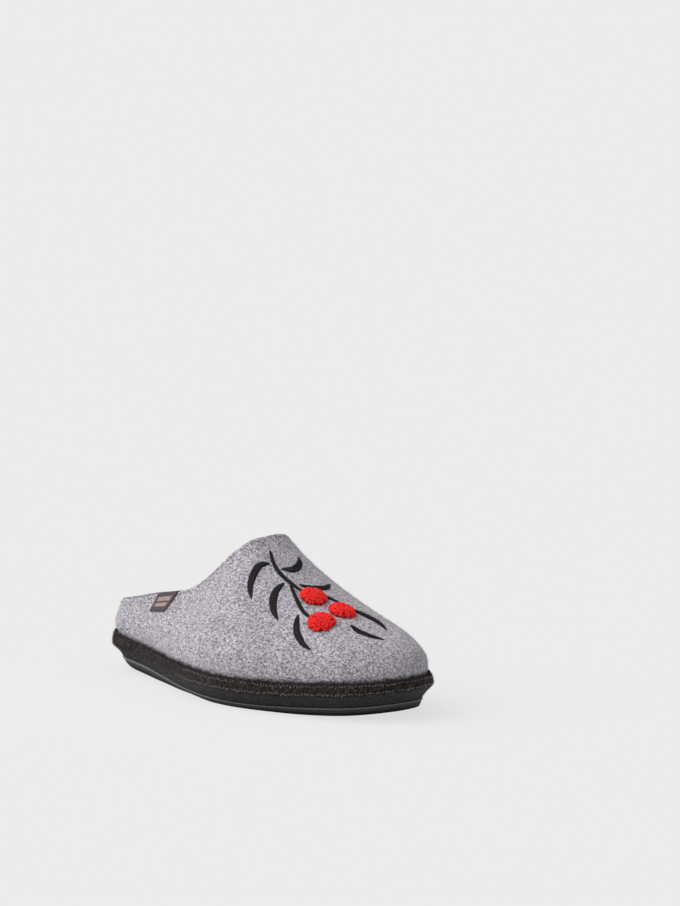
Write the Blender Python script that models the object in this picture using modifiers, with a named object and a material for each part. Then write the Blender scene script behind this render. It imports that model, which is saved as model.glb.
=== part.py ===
"""Right-foot felt slipper: a mule with a low back, on a felt-wrapped footbed and a thin rubber outsole.

Shoe axes: along runs from the back of the heel to the tip of the toe, and across is positive on the outer
(little toe) side. In the world the toe points along -Y and the outer side faces -X.
"""

import bmesh
import bpy
import numpy as np
from mathutils import Vector
from mathutils.bvhtree import BVHTree

# Driving sizes, in metres. Widths are of the band at its widest line, the ridge.
LENGTH = 0.260
HEEL_WIDTH = 0.067
WAIST_WIDTH = 0.090
BALL_WIDTH = 0.108
TOE_WIDTH = 0.073
INSTEP_HEIGHT = 0.101
COLLAR_BACK_HEIGHT = 0.0463
COLLAR_WIDTH = 0.054
FELT_THICKNESS = 0.0030
CLEARANCE = 0.0003

# The sole's build-up, bottom to top.
TOE_SPRING = 0.0066
HEEL_BEVEL_LIFT = 0.0050
HEEL_BEVEL_UNDERCUT = 0.0050
ARCH_LIFT = 0.0005
HEEL_LIFT_THICKNESS = 0.0066
OUTSOLE_THICKNESS = 0.0034
FOREPART_THICKNESS = 0.0050
OUTSOLE_TOP_INSET = 0.0070
OUTSOLE_FLOOR_INSET = 0.0088
OUTSOLE_RIB = 0.0006
BAND_HEIGHT_HEEL = 0.0192
BAND_HEIGHT_BALL = 0.0165
BAND_TOP_INSET = 0.0022
BAND_LIP = 0.0013
TRAY_DEPTH = 0.0080
INSOLE_THICKNESS = 0.0060
INSOLE_CHAMFER = 0.0012

# The woven loop label on the outer side of the collar.
LABEL_FROM_HEEL = 0.0784
LABEL_WIDTH = 0.0190
LABEL_LOW_WIDTH = 0.0168
LABEL_DROP = 0.0143
LABEL_SLANT = 0.0093
LABEL_THICKNESS = 0.0006
LABEL_GRID = 5

# The looped-pile berries on the vamp.
BERRY_DIAMETER = 0.0165
BERRY_HEIGHT = 0.0042
BERRY_RIM_HEIGHT = 0.0010
BERRY_LUMP = 0.0006
BERRY_LUMPS = 5
BERRY_RINGS = 5
BERRY_SPOKES = 20

# Fineness: points around every ring, steps of the upper from band to collar, and points along the worked-out
# ridge line. PLACE_STEP is the small step by which directions are read off the surfaces.
AROUND = 88
UPPER_STEPS = 12
DENSE = 4000
PLACE_STEP = 4 / DENSE

# Stretches of the sole. A row is a station as a share of LENGTH, and how much of the form there is by then: of
# the toe's rise, the heel's bevel, the arch between the two flats, and the heel's lift.
TOE_SPRING_SPAN = ((0.72, 0.0), (1.00, 1.0))
HEEL_BEVEL_SPAN = ((0.00, 1.0), (0.24, 0.0))
ARCH_SPAN = ((0.32, 0.0), (0.52, 1.0))
HEEL_LIFT_SPAN = ((0.12, 1.0), (0.40, 0.0))
FOREPART_SPAN = ((0.60, 0.0), (0.84, 1.0))

# Ridge line: station as a share of LENGTH, the width that the row follows, and the shares of that width that
# lie on the outer and on the inner side of the axis.
OUTLINE = (
    (0.012, HEEL_WIDTH, 0.250, 0.242),
    (0.050, HEEL_WIDTH, 0.440, 0.420),
    (0.134, HEEL_WIDTH, 0.500, 0.500),
    (0.250, WAIST_WIDTH, 0.455, 0.391),
    (0.380, WAIST_WIDTH, 0.579, 0.421),
    (0.510, BALL_WIDTH, 0.560, 0.393),
    (0.620, BALL_WIDTH, 0.552, 0.448),
    (0.730, BALL_WIDTH, 0.477, 0.461),
    (0.830, BALL_WIDTH, 0.393, 0.421),
    (0.905, TOE_WIDTH, 0.475, 0.525),
    (0.960, TOE_WIDTH, 0.308, 0.385),
    (0.990, TOE_WIDTH, 0.136, 0.222),
)

# Height of the band above the outsole: station, share of the heel's height, share of the ball's height.
BAND_HEIGHTS = (
    (0.00, 0.825, 0.00),
    (0.06, 0.845, 0.00),
    (0.14, 0.815, 0.00),
    (0.34, 0.00, 0.995),
    (0.50, 0.00, 1.02),
    (0.70, 0.00, 0.98),
    (0.86, 0.00, 0.975),
    (1.00, 0.00, 0.90),
)

# Side of the band: share of the tuck below the ridge, share of the lean above it, share of its height.
BAND_SIDE = (
    (1.00, 0.00, 0.00),
    (0.72, 0.00, 0.17),
    (0.38, 0.00, 0.33),
    (0.10, 0.00, 0.45),
    (0.00, 0.00, 0.54),
    (0.00, 0.10, 0.68),
    (0.00, 0.38, 0.84),
    (0.00, 0.70, 0.95),
    (0.00, 1.00, 1.00),
)

# Side of the outsole: share of the way from its top inset to its floor inset, share of its height, and
# share of the rib.
OUTSOLE_SIDE = (
    (1.00, 0.00, 0.0),
    (0.70, 0.12, 0.0),
    (0.35, 0.42, 0.0),
    (0.12, 0.72, 0.0),
    (0.10, 0.76, 1.0),
    (0.00, 0.94, 1.0),
    (0.10, 1.00, 0.0),
)

# One row for each spoke from the band up to the collar: place on the half outline (0 heel back, 1 toe tip);
# the collar point's station, its distance from the axis as a share of half COLLAR_WIDTH, and its height as a
# share of the way from COLLAR_BACK_HEIGHT to INSTEP_HEIGHT; the spoke's rise and flare where it leaves the band
# and its reach where it meets the collar, as shares of its span; and its slope in degrees at the collar.
SPOKES = (
    (0.00, 0.0310, 0.00, 0.000, 0.34, 0.235, 0.30, 68),
    (0.10, 0.0360, 0.66, 0.000, 0.34, 0.235, 0.30, 68),
    (0.20, 0.1150, 0.93, 0.060, 0.34, 0.190, 0.32, 64),
    (0.30, 0.2190, 1.00, 0.185, 0.34, 0.150, 0.34, 60),
    (0.40, 0.3230, 0.97, 0.308, 0.33, 0.120, 0.36, 58),
    (0.52, 0.4120, 0.90, 0.590, 0.30, 0.090, 0.38, 53),
    (0.64, 0.4740, 0.76, 0.845, 0.26, 0.070, 0.40, 48),
    (0.76, 0.5020, 0.54, 0.958, 0.21, 0.050, 0.44, 46),
    (0.88, 0.5120, 0.28, 0.990, 0.22, 0.045, 0.50, 46),
    (1.00, 0.5150, 0.00, 1.000, 0.20, 0.041, 0.52, 46),
)

# Centres of the berries: place around the outline and share of the spoke from band to collar.
BERRIES = (
    (0.466, 0.700),
    (0.491, 0.605),
    (0.438, 0.515),
)


def closed_curve(knots, rows, at):
    """Smooth closed curve of period 1 through rows at knots, read at each of at.

    It is a cubic between knots, with no jump in curvature."""
    knots = np.asarray(knots)
    rows = np.asarray(rows)
    at = np.asarray(at) % 1.0
    count = len(knots)
    gaps = np.diff(np.append(knots, knots[0] + 1.0))
    steep = (np.roll(rows, -1, axis=0) - rows) / gaps[:, None]
    system = np.zeros((count, count))
    for i in range(count):
        system[i, i - 1] += gaps[i - 1]
        system[i, i] += 2 * (gaps[i - 1] + gaps[i])
        system[i, (i + 1) % count] += gaps[i]
    bends = np.linalg.solve(system, 6 * (steep - np.roll(steep, 1, axis=0)))
    place = np.searchsorted(knots, at, side="right") - 1
    after = (place + 1) % count
    gap = gaps[place][:, None]
    right = ((at - knots[place]) % 1.0)[:, None] / gap
    left = 1 - right
    curve = left * rows[place] + right * rows[after]
    return curve + gap**2 / 6 * ((left**3 - left) * bends[place] + (right**3 - right) * bends[after])


def along_table(knots, values, at):
    """Smooth curve through values at knots, read at each of at, level beyond its ends."""
    slopes = np.gradient(values, knots)
    at = np.clip(at, knots[0], knots[-1])
    place = np.clip(np.searchsorted(knots, at, side="right") - 1, 0, len(knots) - 2)
    gap = knots[place + 1] - knots[place]
    t = (at - knots[place]) / gap
    start = (1 + 2 * t) * (1 - t) ** 2 * values[place] + t * (1 - t) ** 2 * gap * slopes[place]
    end = t**2 * (3 - 2 * t) * values[place + 1] + t**2 * (t - 1) * gap * slopes[place + 1]
    return start + end


def eased(value):
    """A smooth S from 0 at 0 to 1 at 1."""
    return value * value * (3 - 2 * value)


def lengths_along(points):
    """Distance along a row of points, at each of them."""
    return np.append(0, np.cumsum(np.linalg.norm(np.diff(points, axis=0), axis=1)))


def dense_outline():
    """The ridge line as many (along, across) points, and their places.

    Places run from 0 at the heel's back by the outer side to 0.5 at the toe's tip, and on to 1."""
    outer = [(station * LENGTH, share * width) for station, width, share, _ in OUTLINE]
    inner = [(station * LENGTH, -share * width) for station, width, _, share in OUTLINE]
    points = np.array([(0.0, 0.0), *outer, (LENGTH, 0.0), *reversed(inner)])
    steps = np.sqrt(np.linalg.norm(np.roll(points, -1, axis=0) - points, axis=1))
    knots = np.append(0, np.cumsum(steps)[:-1]) / steps.sum()
    dense = closed_curve(knots, points, np.arange(DENSE) / DENSE)
    dense = np.vstack([dense, dense[:1]])
    run = lengths_along(dense)
    tip = np.argmax(dense[:, 0])
    outer_places = 0.5 * run / run[tip]
    inner_places = 0.5 + 0.5 * (run - run[tip]) / (run[-1] - run[tip])
    return dense, np.where(np.arange(len(dense)) <= tip, outer_places, inner_places)


RIDGE, RIDGE_PLACES = dense_outline()
MIDDLE = (RIDGE.max(axis=0) + RIDGE.min(axis=0)) / 2


def outline(places, inset):
    """Points (along, across) of the ridge line moved inwards by inset, and the outward directions there."""
    def read(at):
        return np.stack([np.interp(at % 1.0, RIDGE_PLACES, RIDGE[:, k]) for k in (0, 1)], axis=-1)

    tangent = read(places + 2 * PLACE_STEP) - read(places - 2 * PLACE_STEP)
    outward = np.stack([-tangent[:, 1], tangent[:, 0]], axis=-1)
    outward /= np.linalg.norm(outward, axis=1)[:, None]
    return read(places) - np.reshape(inset, (-1, 1)) * outward, outward


def share_of(span, along):
    """How much of a span's form there is at each point, from 0 to 1."""
    return np.interp(along / LENGTH, *zip(*span))


def heel_bevel(along):
    """One at the back of the heel, falling to zero at the end of the bevel."""
    return share_of(HEEL_BEVEL_SPAN, along) ** 2


def lift(along):
    """Rise of the whole sole off the floor at its two ends."""
    spring = share_of(TOE_SPRING_SPAN, along) ** 2
    return spring * TOE_SPRING + heel_bevel(along) * HEEL_BEVEL_LIFT


def floor_height(along):
    """Underside of the outsole: lift at the ends and a slight arch, flat on the floor between them."""
    arch = np.sin(np.pi * share_of(ARCH_SPAN, along)) ** 2
    return lift(along) + arch * ARCH_LIFT


def outsole_height(along):
    """Top of the outsole: thicker under the heel, and a little under the forepart."""
    heel = eased(share_of(HEEL_LIFT_SPAN, along)) * (HEEL_LIFT_THICKNESS - OUTSOLE_THICKNESS)
    forepart = eased(share_of(FOREPART_SPAN, along)) * (FOREPART_THICKNESS - OUTSOLE_THICKNESS)
    return lift(along) + OUTSOLE_THICKNESS + heel + forepart


def band_top(along):
    table = np.array(BAND_HEIGHTS)
    heights = table[:, 1] * BAND_HEIGHT_HEEL + table[:, 2] * BAND_HEIGHT_BALL
    return outsole_height(along) + along_table(table[:, 0], heights, along / LENGTH)


def tray_floor(along):
    return band_top(along) - TRAY_DEPTH


def world(points, heights):
    """World positions of (along, across) points at heights."""
    flat = MIDDLE - points
    return np.stack([flat[..., 1], flat[..., 0], heights], axis=-1)


def ring(inset, height):
    """A ring of AROUND world points: the ridge line moved inwards, at the height that suits each point."""
    points, _ = outline(np.arange(AROUND) / AROUND, inset)
    return world(points, height(points[:, 0]))


def between(low, high, share):
    """A height function part of the way from one height function to another."""
    return lambda along: low(along) + share * (high(along) - low(along))


def upper_inset():
    """Distance of the upper's outer face from the ridge line where it stands in the band's tray."""
    return BAND_TOP_INSET + BAND_LIP + CLEARANCE


def upper_surface(places, shares):
    """Outer face of the upper, at places around the outline and shares of the way from band to collar.

    Each spoke is a cubic curve: it leaves the band with a flare and meets the collar at its own slope."""
    table = np.array(SPOKES)
    mirrored = table[1:-1][::-1] * (-1, 1, -1, 1, 1, 1, 1, 1) + (2, 0, 0, 0, 0, 0, 0, 0)
    rows = np.vstack([table, mirrored])
    found = closed_curve(rows[:, 0] / 2, rows[:, 1:], places)
    station, across, share, rise, flare, reach, slope = found.T[:, :, None]
    foot, outward = outline(places, upper_inset())
    start = world(foot, band_top(foot[:, 0]) + CLEARANCE)
    collar = np.stack([station[:, 0] * LENGTH, across[:, 0] * COLLAR_WIDTH / 2], axis=-1)
    end = world(collar, COLLAR_BACK_HEIGHT + share[:, 0] * (INSTEP_HEIGHT - COLLAR_BACK_HEIGHT))
    up = np.array([0.0, 0.0, 1.0])
    side = np.stack([-outward[:, 1], -outward[:, 0], np.zeros(len(outward))], axis=-1)
    span = np.linalg.norm(end - start, axis=1)[:, None]
    level = (end - start) * (1, 1, 0)
    level /= np.linalg.norm(level, axis=1)[:, None]
    tilt = np.radians(slope)
    first = start + span * (rise * up + flare * side)
    second = end - span * reach * (level * np.cos(tilt) + up * np.sin(tilt))
    t = np.asarray(shares)[:, None, None]
    return (1 - t) ** 3 * start + 3 * t * (1 - t) ** 2 * first + 3 * t**2 * (1 - t) * second + t**3 * end


def upper_normals(places, shares):
    """Outward unit directions of the upper's outer face on the same grid as upper_surface."""
    shares = np.asarray(shares)
    around = upper_surface(places + PLACE_STEP, shares) - upper_surface(places - PLACE_STEP, shares)
    rising = upper_surface(places, shares + PLACE_STEP) - upper_surface(places, shares - PLACE_STEP)
    normals = np.cross(around, rising)
    return normals / np.linalg.norm(normals, axis=-1)[..., None]


def clear_scene():
    for thing in list(bpy.data.objects):
        bpy.data.objects.remove(thing, do_unlink=True)


def finish_of(name, colour, roughness):
    """A plain Principled material."""
    material = bpy.data.materials.new(name)
    material.use_nodes = True
    shader = material.node_tree.nodes["Principled BSDF"]
    shader.inputs["Base Color"].default_value = (*colour, 1.0)
    shader.inputs["Roughness"].default_value = roughness
    shader.inputs["Metallic"].default_value = 0.0
    return material


def loft(rings, closed=True):
    """Faces between rings of points, laid out so that rings going up face outwards, as a bmesh."""
    shape = bmesh.new()
    rows = [[shape.verts.new(point) for point in points] for points in rings]
    count = len(rows[0])
    for low, high in zip(rows, rows[1:]):
        for i in range(count if closed else count - 1):
            after = (i + 1) % count
            shape.faces.new((low[i], low[after], high[after], high[i]))
    return shape, rows


def cap(shape, row, upwards):
    """Closes a ring of the outline with strips that run straight across the shoe, so that each is flat."""
    count = len(row)
    for i in range(count // 2):
        corners = [row[i], row[-i], row[-i - 1], row[i + 1]]
        distinct = list(dict.fromkeys(corners))
        shape.faces.new(reversed(distinct) if upwards else distinct)


def add_part(name, shape, material, collection):
    """Turns a bmesh into a named object with its material."""
    mesh = bpy.data.meshes.new(name)
    shape.to_mesh(mesh)
    shape.free()
    mesh.materials.append(material)
    mesh.shade_smooth()
    mesh.set_sharp_from_angle(angle=np.radians(35))
    part = bpy.data.objects.new(name, mesh)
    collection.objects.link(part)
    return part


def add_slab(name, rings, material, collection):
    """A closed solid from rings that start at its underside and end at its top."""
    shape, rows = loft(rings)
    cap(shape, rows[0], upwards=False)
    cap(shape, rows[-1], upwards=True)
    return add_part(name, shape, material, collection)


def add_outsole(collection):
    rings = []
    for way, height, rib in OUTSOLE_SIDE:
        top_inset = OUTSOLE_TOP_INSET - rib * OUTSOLE_RIB
        along = outline(np.arange(AROUND) / AROUND, 0.0)[0][:, 0]
        floor_inset = OUTSOLE_FLOOR_INSET + HEEL_BEVEL_UNDERCUT * heel_bevel(along)
        inset = top_inset + way * (floor_inset - top_inset)
        rings.append(ring(inset, between(floor_height, outsole_height, height)))
    return add_slab("outsole", rings, finish_of("outsole rubber", (0.013, 0.013, 0.014), 0.5), collection)


def add_band(collection):
    """The felt-wrapped footbed: its flared side, the lip along its top edge and the tray for the insole."""
    def joint(along):
        return outsole_height(along) + CLEARANCE

    rings = []
    for tuck, lean, height in BAND_SIDE:
        inset = tuck * OUTSOLE_TOP_INSET + lean * BAND_TOP_INSET
        rings.append(ring(inset, between(joint, band_top, height)))
    lip_inset = BAND_TOP_INSET + BAND_LIP
    rings.append(ring(lip_inset, band_top))
    rings.append(ring(lip_inset, tray_floor))
    return add_slab("midsole_band", rings, finish_of("band felt", (0.018, 0.017, 0.017), 0.95), collection)


def add_insole(collection):
    inset = upper_inset() + FELT_THICKNESS + CLEARANCE

    def level(rise):
        return lambda along: tray_floor(along) + CLEARANCE + rise

    rings = [
        ring(inset, level(0.0)),
        ring(inset, level(INSOLE_THICKNESS - INSOLE_CHAMFER)),
        ring(inset + INSOLE_CHAMFER, level(INSOLE_THICKNESS)),
    ]
    return add_slab("insole", rings, finish_of("insole felt", (0.26, 0.24, 0.25), 0.95), collection)


def add_upper(collection):
    """The felt upper: an open surface from the tray's floor to the collar, given its wall by Solidify."""
    shares = np.linspace(0, 1, UPPER_STEPS + 1)
    rings = [ring(upper_inset(), lambda along: tray_floor(along) + CLEARANCE)]
    rings += list(upper_surface(np.arange(AROUND) / AROUND, shares))
    shape, _ = loft(rings)
    part = add_part("upper", shape, finish_of("upper felt", (0.33, 0.31, 0.33), 0.95), collection)
    wall = part.modifiers.new("felt wall", "SOLIDIFY")
    wall.thickness = FELT_THICKNESS
    wall.offset = -1
    wall.use_even_offset = True
    wall.use_quality_normals = True
    return part


def label_places():
    """A row of places around the outline for each share of the spokes that the label covers, up to the collar.

    Both are read off measured lengths: along the collar's edge, and down the spoke at the label's middle. Down
    the label its rows get narrower and slip towards the heel."""
    outer = slice(0, DENSE // 3)
    middle = np.interp(LABEL_FROM_HEEL, RIDGE[outer, 0], RIDGE_PLACES[outer])
    reach = 2 * LABEL_WIDTH / LENGTH
    nearby = np.linspace(middle - reach, middle + reach, DENSE // 20)
    run = lengths_along(upper_surface(nearby, [1.0])[0])
    centre = np.interp(middle, nearby, run)
    down = np.linspace(1, 0, LABEL_GRID)
    width = LABEL_WIDTH + down * (LABEL_LOW_WIDTH - LABEL_WIDTH)
    across = np.outer(width, np.linspace(-0.5, 0.5, LABEL_GRID)) - LABEL_SLANT * down[:, None]
    depths = np.linspace(1.0, 0.0, DENSE // 20)
    fall = lengths_along(upper_surface(np.array([middle]), depths)[:, 0])
    return np.interp(centre + across, run, nearby), np.interp(down * LABEL_DROP, fall, depths)


def add_label(collection):
    """A woven label folded over the collar: down its outside, over the cut edge and down its inside."""
    rows = list(zip(*label_places()))
    face = np.array([upper_surface(places, [share])[0] for places, share in rows])
    normals = np.array([upper_normals(places, [share])[0] for places, share in rows])
    away = CLEARANCE + LABEL_THICKNESS / 2
    edge, edge_normal = face[-1], normals[-1]
    rising = face[-1] - face[-2]
    rising /= np.linalg.norm(rising, axis=1)[:, None]
    outside = face + normals * away
    inside = face - normals * (FELT_THICKNESS + away)
    over_out = edge + edge_normal * away / 2 + rising * away
    over_in = edge - edge_normal * (FELT_THICKNESS + away / 2) + rising * away
    shape, _ = loft([*outside, over_out, over_in, *inside[::-1]], closed=False)
    part = add_part("label", shape, finish_of("label weave", (0.10, 0.07, 0.07), 0.9), collection)
    wall = part.modifiers.new("tape", "SOLIDIFY")
    wall.thickness = LABEL_THICKNESS
    wall.offset = 0
    wall.use_even_offset = True
    return part


def add_berry(name, place, share, upper_tree, material, collection):
    """A domed pad of looped pile that follows the vamp under it.

    It is BERRY_HEIGHT thick in the middle and BERRY_RIM_HEIGHT at its rim; angle and ring give its lumps."""
    centre = Vector(upper_surface(np.array([place]), [share])[0, 0])
    normal = Vector(upper_normals(np.array([place]), [share])[0, 0])
    first = normal.orthogonal().normalized()
    second = normal.cross(first)
    under_rows = []
    over_rows = []
    for k in range(1, BERRY_RINGS + 1):
        radius = BERRY_DIAMETER / 2 * k / BERRY_RINGS
        dome = BERRY_HEIGHT - (BERRY_HEIGHT - BERRY_RIM_HEIGHT) * (k / BERRY_RINGS) ** 3
        under = []
        over = []
        for i in range(BERRY_SPOKES):
            angle = 2 * np.pi * i / BERRY_SPOKES
            spot = centre + radius * (first * np.cos(angle) + second * np.sin(angle))
            hit = upper_tree.ray_cast(spot + normal * BERRY_DIAMETER, -normal)[0]
            lump = BERRY_LUMP * np.cos(BERRY_LUMPS * angle) * (-1) ** k * (k < BERRY_RINGS)
            under.append(hit + normal * CLEARANCE)
            over.append(hit + normal * (CLEARANCE + dome + lump))
        under_rows.append(under)
        over_rows.append(over)
    crown = centre + normal * (CLEARANCE + BERRY_HEIGHT)
    shape, rows = loft([*under_rows, *over_rows[::-1]])
    for row, tip in ((rows[0], centre + normal * CLEARANCE), (rows[-1], crown)):
        middle = shape.verts.new(tip)
        for i in range(BERRY_SPOKES):
            shape.faces.new((row[i], row[(i + 1) % BERRY_SPOKES], middle))
    bmesh.ops.recalc_face_normals(shape, faces=shape.faces)
    return add_part(name, shape, material, collection)


def add_berries(collection):
    places = np.arange(4 * AROUND) / (4 * AROUND)
    shape, _ = loft(upper_surface(places, np.linspace(0, 1, 4 * UPPER_STEPS + 1)))
    tree = BVHTree.FromBMesh(shape)
    shape.free()
    material = finish_of("berry pile", (0.75, 0.012, 0.012), 0.9)
    for number, (place, share) in enumerate(BERRIES, start=1):
        add_berry(f"berry_{number}", place, share, tree, material, collection)


def main():
    clear_scene()
    collection = bpy.data.collections.new("felt slipper")
    bpy.context.scene.collection.children.link(collection)
    add_outsole(collection)
    add_band(collection)
    add_insole(collection)
    add_upper(collection)
    add_label(collection)
    add_berries(collection)


main()
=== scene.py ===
"""Looks of the right-foot felt slipper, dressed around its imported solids.

Shoe axes: along runs from the back of the heel to the tip of the toe, and across is positive on the outer
(little toe) side. In the world the toe points along -Y and the outer side faces -X. A place runs once
round the shoe: 0 at the heel's back, by the outer side to 0.5 at the toe's tip, and by the inner side to 1.
A share runs up the upper, from 0 at the band to 1 at the collar.
"""

import logging
from collections.abc import Callable
from dataclasses import dataclass, field
from enum import Enum
from functools import cached_property

import bmesh
import bpy
import numpy as np
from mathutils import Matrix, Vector


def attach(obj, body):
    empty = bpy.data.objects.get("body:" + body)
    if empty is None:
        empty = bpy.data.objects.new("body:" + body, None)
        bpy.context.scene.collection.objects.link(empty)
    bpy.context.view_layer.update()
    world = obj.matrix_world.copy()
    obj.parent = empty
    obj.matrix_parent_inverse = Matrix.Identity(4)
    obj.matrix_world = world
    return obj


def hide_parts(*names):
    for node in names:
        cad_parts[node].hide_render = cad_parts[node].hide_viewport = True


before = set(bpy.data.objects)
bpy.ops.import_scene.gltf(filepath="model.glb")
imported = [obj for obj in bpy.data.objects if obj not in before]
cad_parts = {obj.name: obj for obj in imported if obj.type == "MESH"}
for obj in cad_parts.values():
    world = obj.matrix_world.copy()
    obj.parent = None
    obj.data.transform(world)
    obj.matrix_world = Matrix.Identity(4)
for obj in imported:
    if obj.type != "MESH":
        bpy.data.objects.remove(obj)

Array = np.ndarray
Socket = bpy.types.NodeSocket
MM = 0.001
UP = np.array([0.0, 0.0, 1.0])
BERRY_CENTRES = ((0.466, 0.700), (0.491, 0.605), (0.438, 0.515))

log = logging.getLogger("slipper")


def linear(colour: str) -> tuple[float, float, float, float]:
    """Turns an sRGB hex colour into Blender's linear one.

    Args:
        colour: six hex digits.

    Returns:
        Linear red, green, blue and full alpha.
    """
    parts = np.array([int(colour[i : i + 2], 16) for i in (0, 2, 4)]) / 255
    light = np.where(parts <= 0.04045, parts / 12.92, ((parts + 0.055) / 1.055) ** 2.4)
    return (*light.tolist(), 1.0)


def eased(value: Array) -> Array:
    """A smooth S, 3v^2 - 2v^3, from 0 at 0 to 1 at 1, level beyond."""
    value = np.clip(value, 0, 1)
    return value * value * (3 - 2 * value)


def unit(vectors: Array) -> Array:
    """The vectors, each divided by its own length."""
    return vectors / np.maximum(np.linalg.norm(vectors, axis=-1, keepdims=True), 1e-12)


def lengths_along(points: Array) -> Array:
    """Distance along a row of points, at each of them."""
    return np.append(0, np.cumsum(np.linalg.norm(np.diff(points, axis=0), axis=1)))


def between(knots: Array, rows: Array, at: Array) -> Array:
    """Rows of values read in straight lines between knots, at any positions."""
    return np.stack([np.interp(at, knots, column) for column in rows.T], axis=-1)


def through_table(knots: Array, values: Array, at: Array) -> Array:
    """Smooth curve through a table.

    Between two knots it is the cubic with the table's own slopes at both, and beyond the ends it stays level.

    Args:
        knots: rising positions.
        values: one value, or one row of values, per knot.
        at: the positions to read.

    Returns:
        One value, or one row, per position.
    """
    slopes = np.gradient(values, knots, axis=0)
    at = np.clip(at, knots[0], knots[-1])
    place = np.clip(np.searchsorted(knots, at, side="right") - 1, 0, len(knots) - 2)
    gap = knots[place + 1] - knots[place]
    t = (at - knots[place]) / gap
    if np.ndim(values) > 1:
        gap, t = gap[..., None], t[..., None]
    start = (1 + 2 * t) * (1 - t) ** 2 * values[place] + t * (1 - t) ** 2 * gap * slopes[place]
    return start + t**2 * (3 - 2 * t) * values[place + 1] + t**2 * (t - 1) * gap * slopes[place + 1]


def smooth_path(points: Array, count: int) -> Array:
    """Evenly spaced points on the smooth curve through a few, its knots at the chords' summed lengths."""
    knots = lengths_along(points)
    fine = through_table(knots, points, np.linspace(0, knots[-1], 8 * count))
    run = lengths_along(fine)
    return through_table(run, fine, np.linspace(0, run[-1], count))


def lumps(points: Array, size: float, seed: int) -> Array:
    """Soft random waves in space, about -1 to 1: a fifth of the sum of 14 plane waves of random heading.

    Args:
        points: where to read them.
        size: the waves' mean length in metres.
        seed: picks the headings and phases.

    Returns:
        One height per point.
    """
    rng = np.random.default_rng(seed)
    heading = unit(rng.normal(size=(14, 3))) * rng.uniform(0.6, 1.5, (14, 1)) * 2 * np.pi / size
    phase = rng.uniform(0, 2 * np.pi, 14)
    return np.cos(points @ heading.T + phase).sum(axis=-1) / 5


@dataclass
class Grid:
    """A surface, or many alike, as a grid of points.

    Attributes:
        points: shape (..., rows, columns, 3), in metres.
        uv: shape (..., rows, columns, 2), or None.
        marks: named values for the material, one per point.
    """

    points: Array
    uv: Array | None = None
    marks: dict[str, Array] = field(default_factory=dict)

    @property
    def quads(self) -> Array:
        """Corner numbers of every face, between each row and column and the next."""
        index = np.arange(self.points[..., 0].size).reshape(self.points.shape[:-1])
        corners = (index[..., :-1, :-1], index[..., :-1, 1:], index[..., 1:, 1:], index[..., 1:, :-1])
        return np.stack(corners, axis=-1).reshape(-1, 4)


def make_mesh(name: str, grids: list[Grid], closed: bool = True) -> bpy.types.Mesh:
    """Joins grids into one mesh, welds the points that they share and turns closed surfaces outwards.

    Args:
        name: the mesh's name.
        grids: the surfaces, which all have or all lack a UV map and the same marks.
        closed: False for an open sheet, whose faces stay as laid.

    Returns:
        The smooth-shaded mesh.
    """
    points = np.concatenate([grid.points.reshape(-1, 3) for grid in grids])
    starts = np.cumsum([0] + [grid.points[..., 0].size for grid in grids[:-1]])
    quads = np.concatenate([grid.quads + start for grid, start in zip(grids, starts)])
    mesh = bpy.data.meshes.new(name)
    mesh.from_pydata(points, [], quads)
    if grids[0].uv is not None:
        flat = np.concatenate([grid.uv.reshape(-1, 2) for grid in grids])
        mesh.uv_layers.new(name="surface").uv.foreach_set("vector", flat[quads.ravel()].ravel())
    for mark in grids[0].marks:
        values = np.concatenate([np.ravel(grid.marks[mark]) for grid in grids])
        mesh.attributes.new(mark, "FLOAT", "POINT").data.foreach_set("value", values.astype(np.float32))
    shape = bmesh.new()
    shape.from_mesh(mesh)
    bmesh.ops.remove_doubles(shape, verts=shape.verts, dist=1e-7)
    bmesh.ops.dissolve_degenerate(shape, edges=shape.edges, dist=1e-7)
    if closed:
        bmesh.ops.recalc_face_normals(shape, faces=shape.faces)
    shape.to_mesh(mesh)
    shape.free()
    mesh.shade_smooth()
    return mesh


def add_piece(
    name: str,
    grids: list[Grid],
    material: bpy.types.Material,
    stands_for: str | None = None,
    closed: bool = True,
) -> bpy.types.Object:
    """Puts surfaces into the scene as one piece of the slipper.

    Args:
        name: the piece's name.
        grids: its surfaces, in place.
        material: its finish.
        stands_for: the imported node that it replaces, if any.
        closed: False for an open sheet.

    Returns:
        The object, riding on the slipper's one body.
    """
    mesh = make_mesh(name, grids, closed)
    mesh.materials.append(material)
    piece = bpy.data.objects.new(name, mesh)
    bpy.context.scene.collection.objects.link(piece)
    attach(piece, "root")
    if stands_for:
        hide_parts(stands_for)
    log.info("%s: %d faces", name, len(mesh.polygons))
    return piece


def tubes(paths: Array, radii: Array, sides: int = 6) -> Array:
    """Round threads along many paths at once.

    Each point is path + radius * (cos a * across + sin a * over), where across lies square to the path.

    Args:
        paths: shape (threads, steps, 3).
        radii: shape (threads, steps) or (steps,), zero at an end that closes.
        sides: facets round the thread.

    Returns:
        Points of shape (threads, steps, sides + 1, 3), the last column on the first.
    """
    ahead = unit(np.gradient(paths, axis=1))
    helper = np.where(np.abs(ahead[..., 2:]) > 0.9, np.array([1.0, 0.0, 0.0]), UP)
    across = unit(np.cross(ahead, helper))
    over = np.cross(across, ahead)
    angle = np.linspace(0, 2 * np.pi, sides + 1)
    ring = across[..., None, :] * np.cos(angle)[:, None] + over[..., None, :] * np.sin(angle)[:, None]
    return paths[..., None, :] + np.broadcast_to(radii, paths.shape[:2])[..., None, None] * ring


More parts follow.
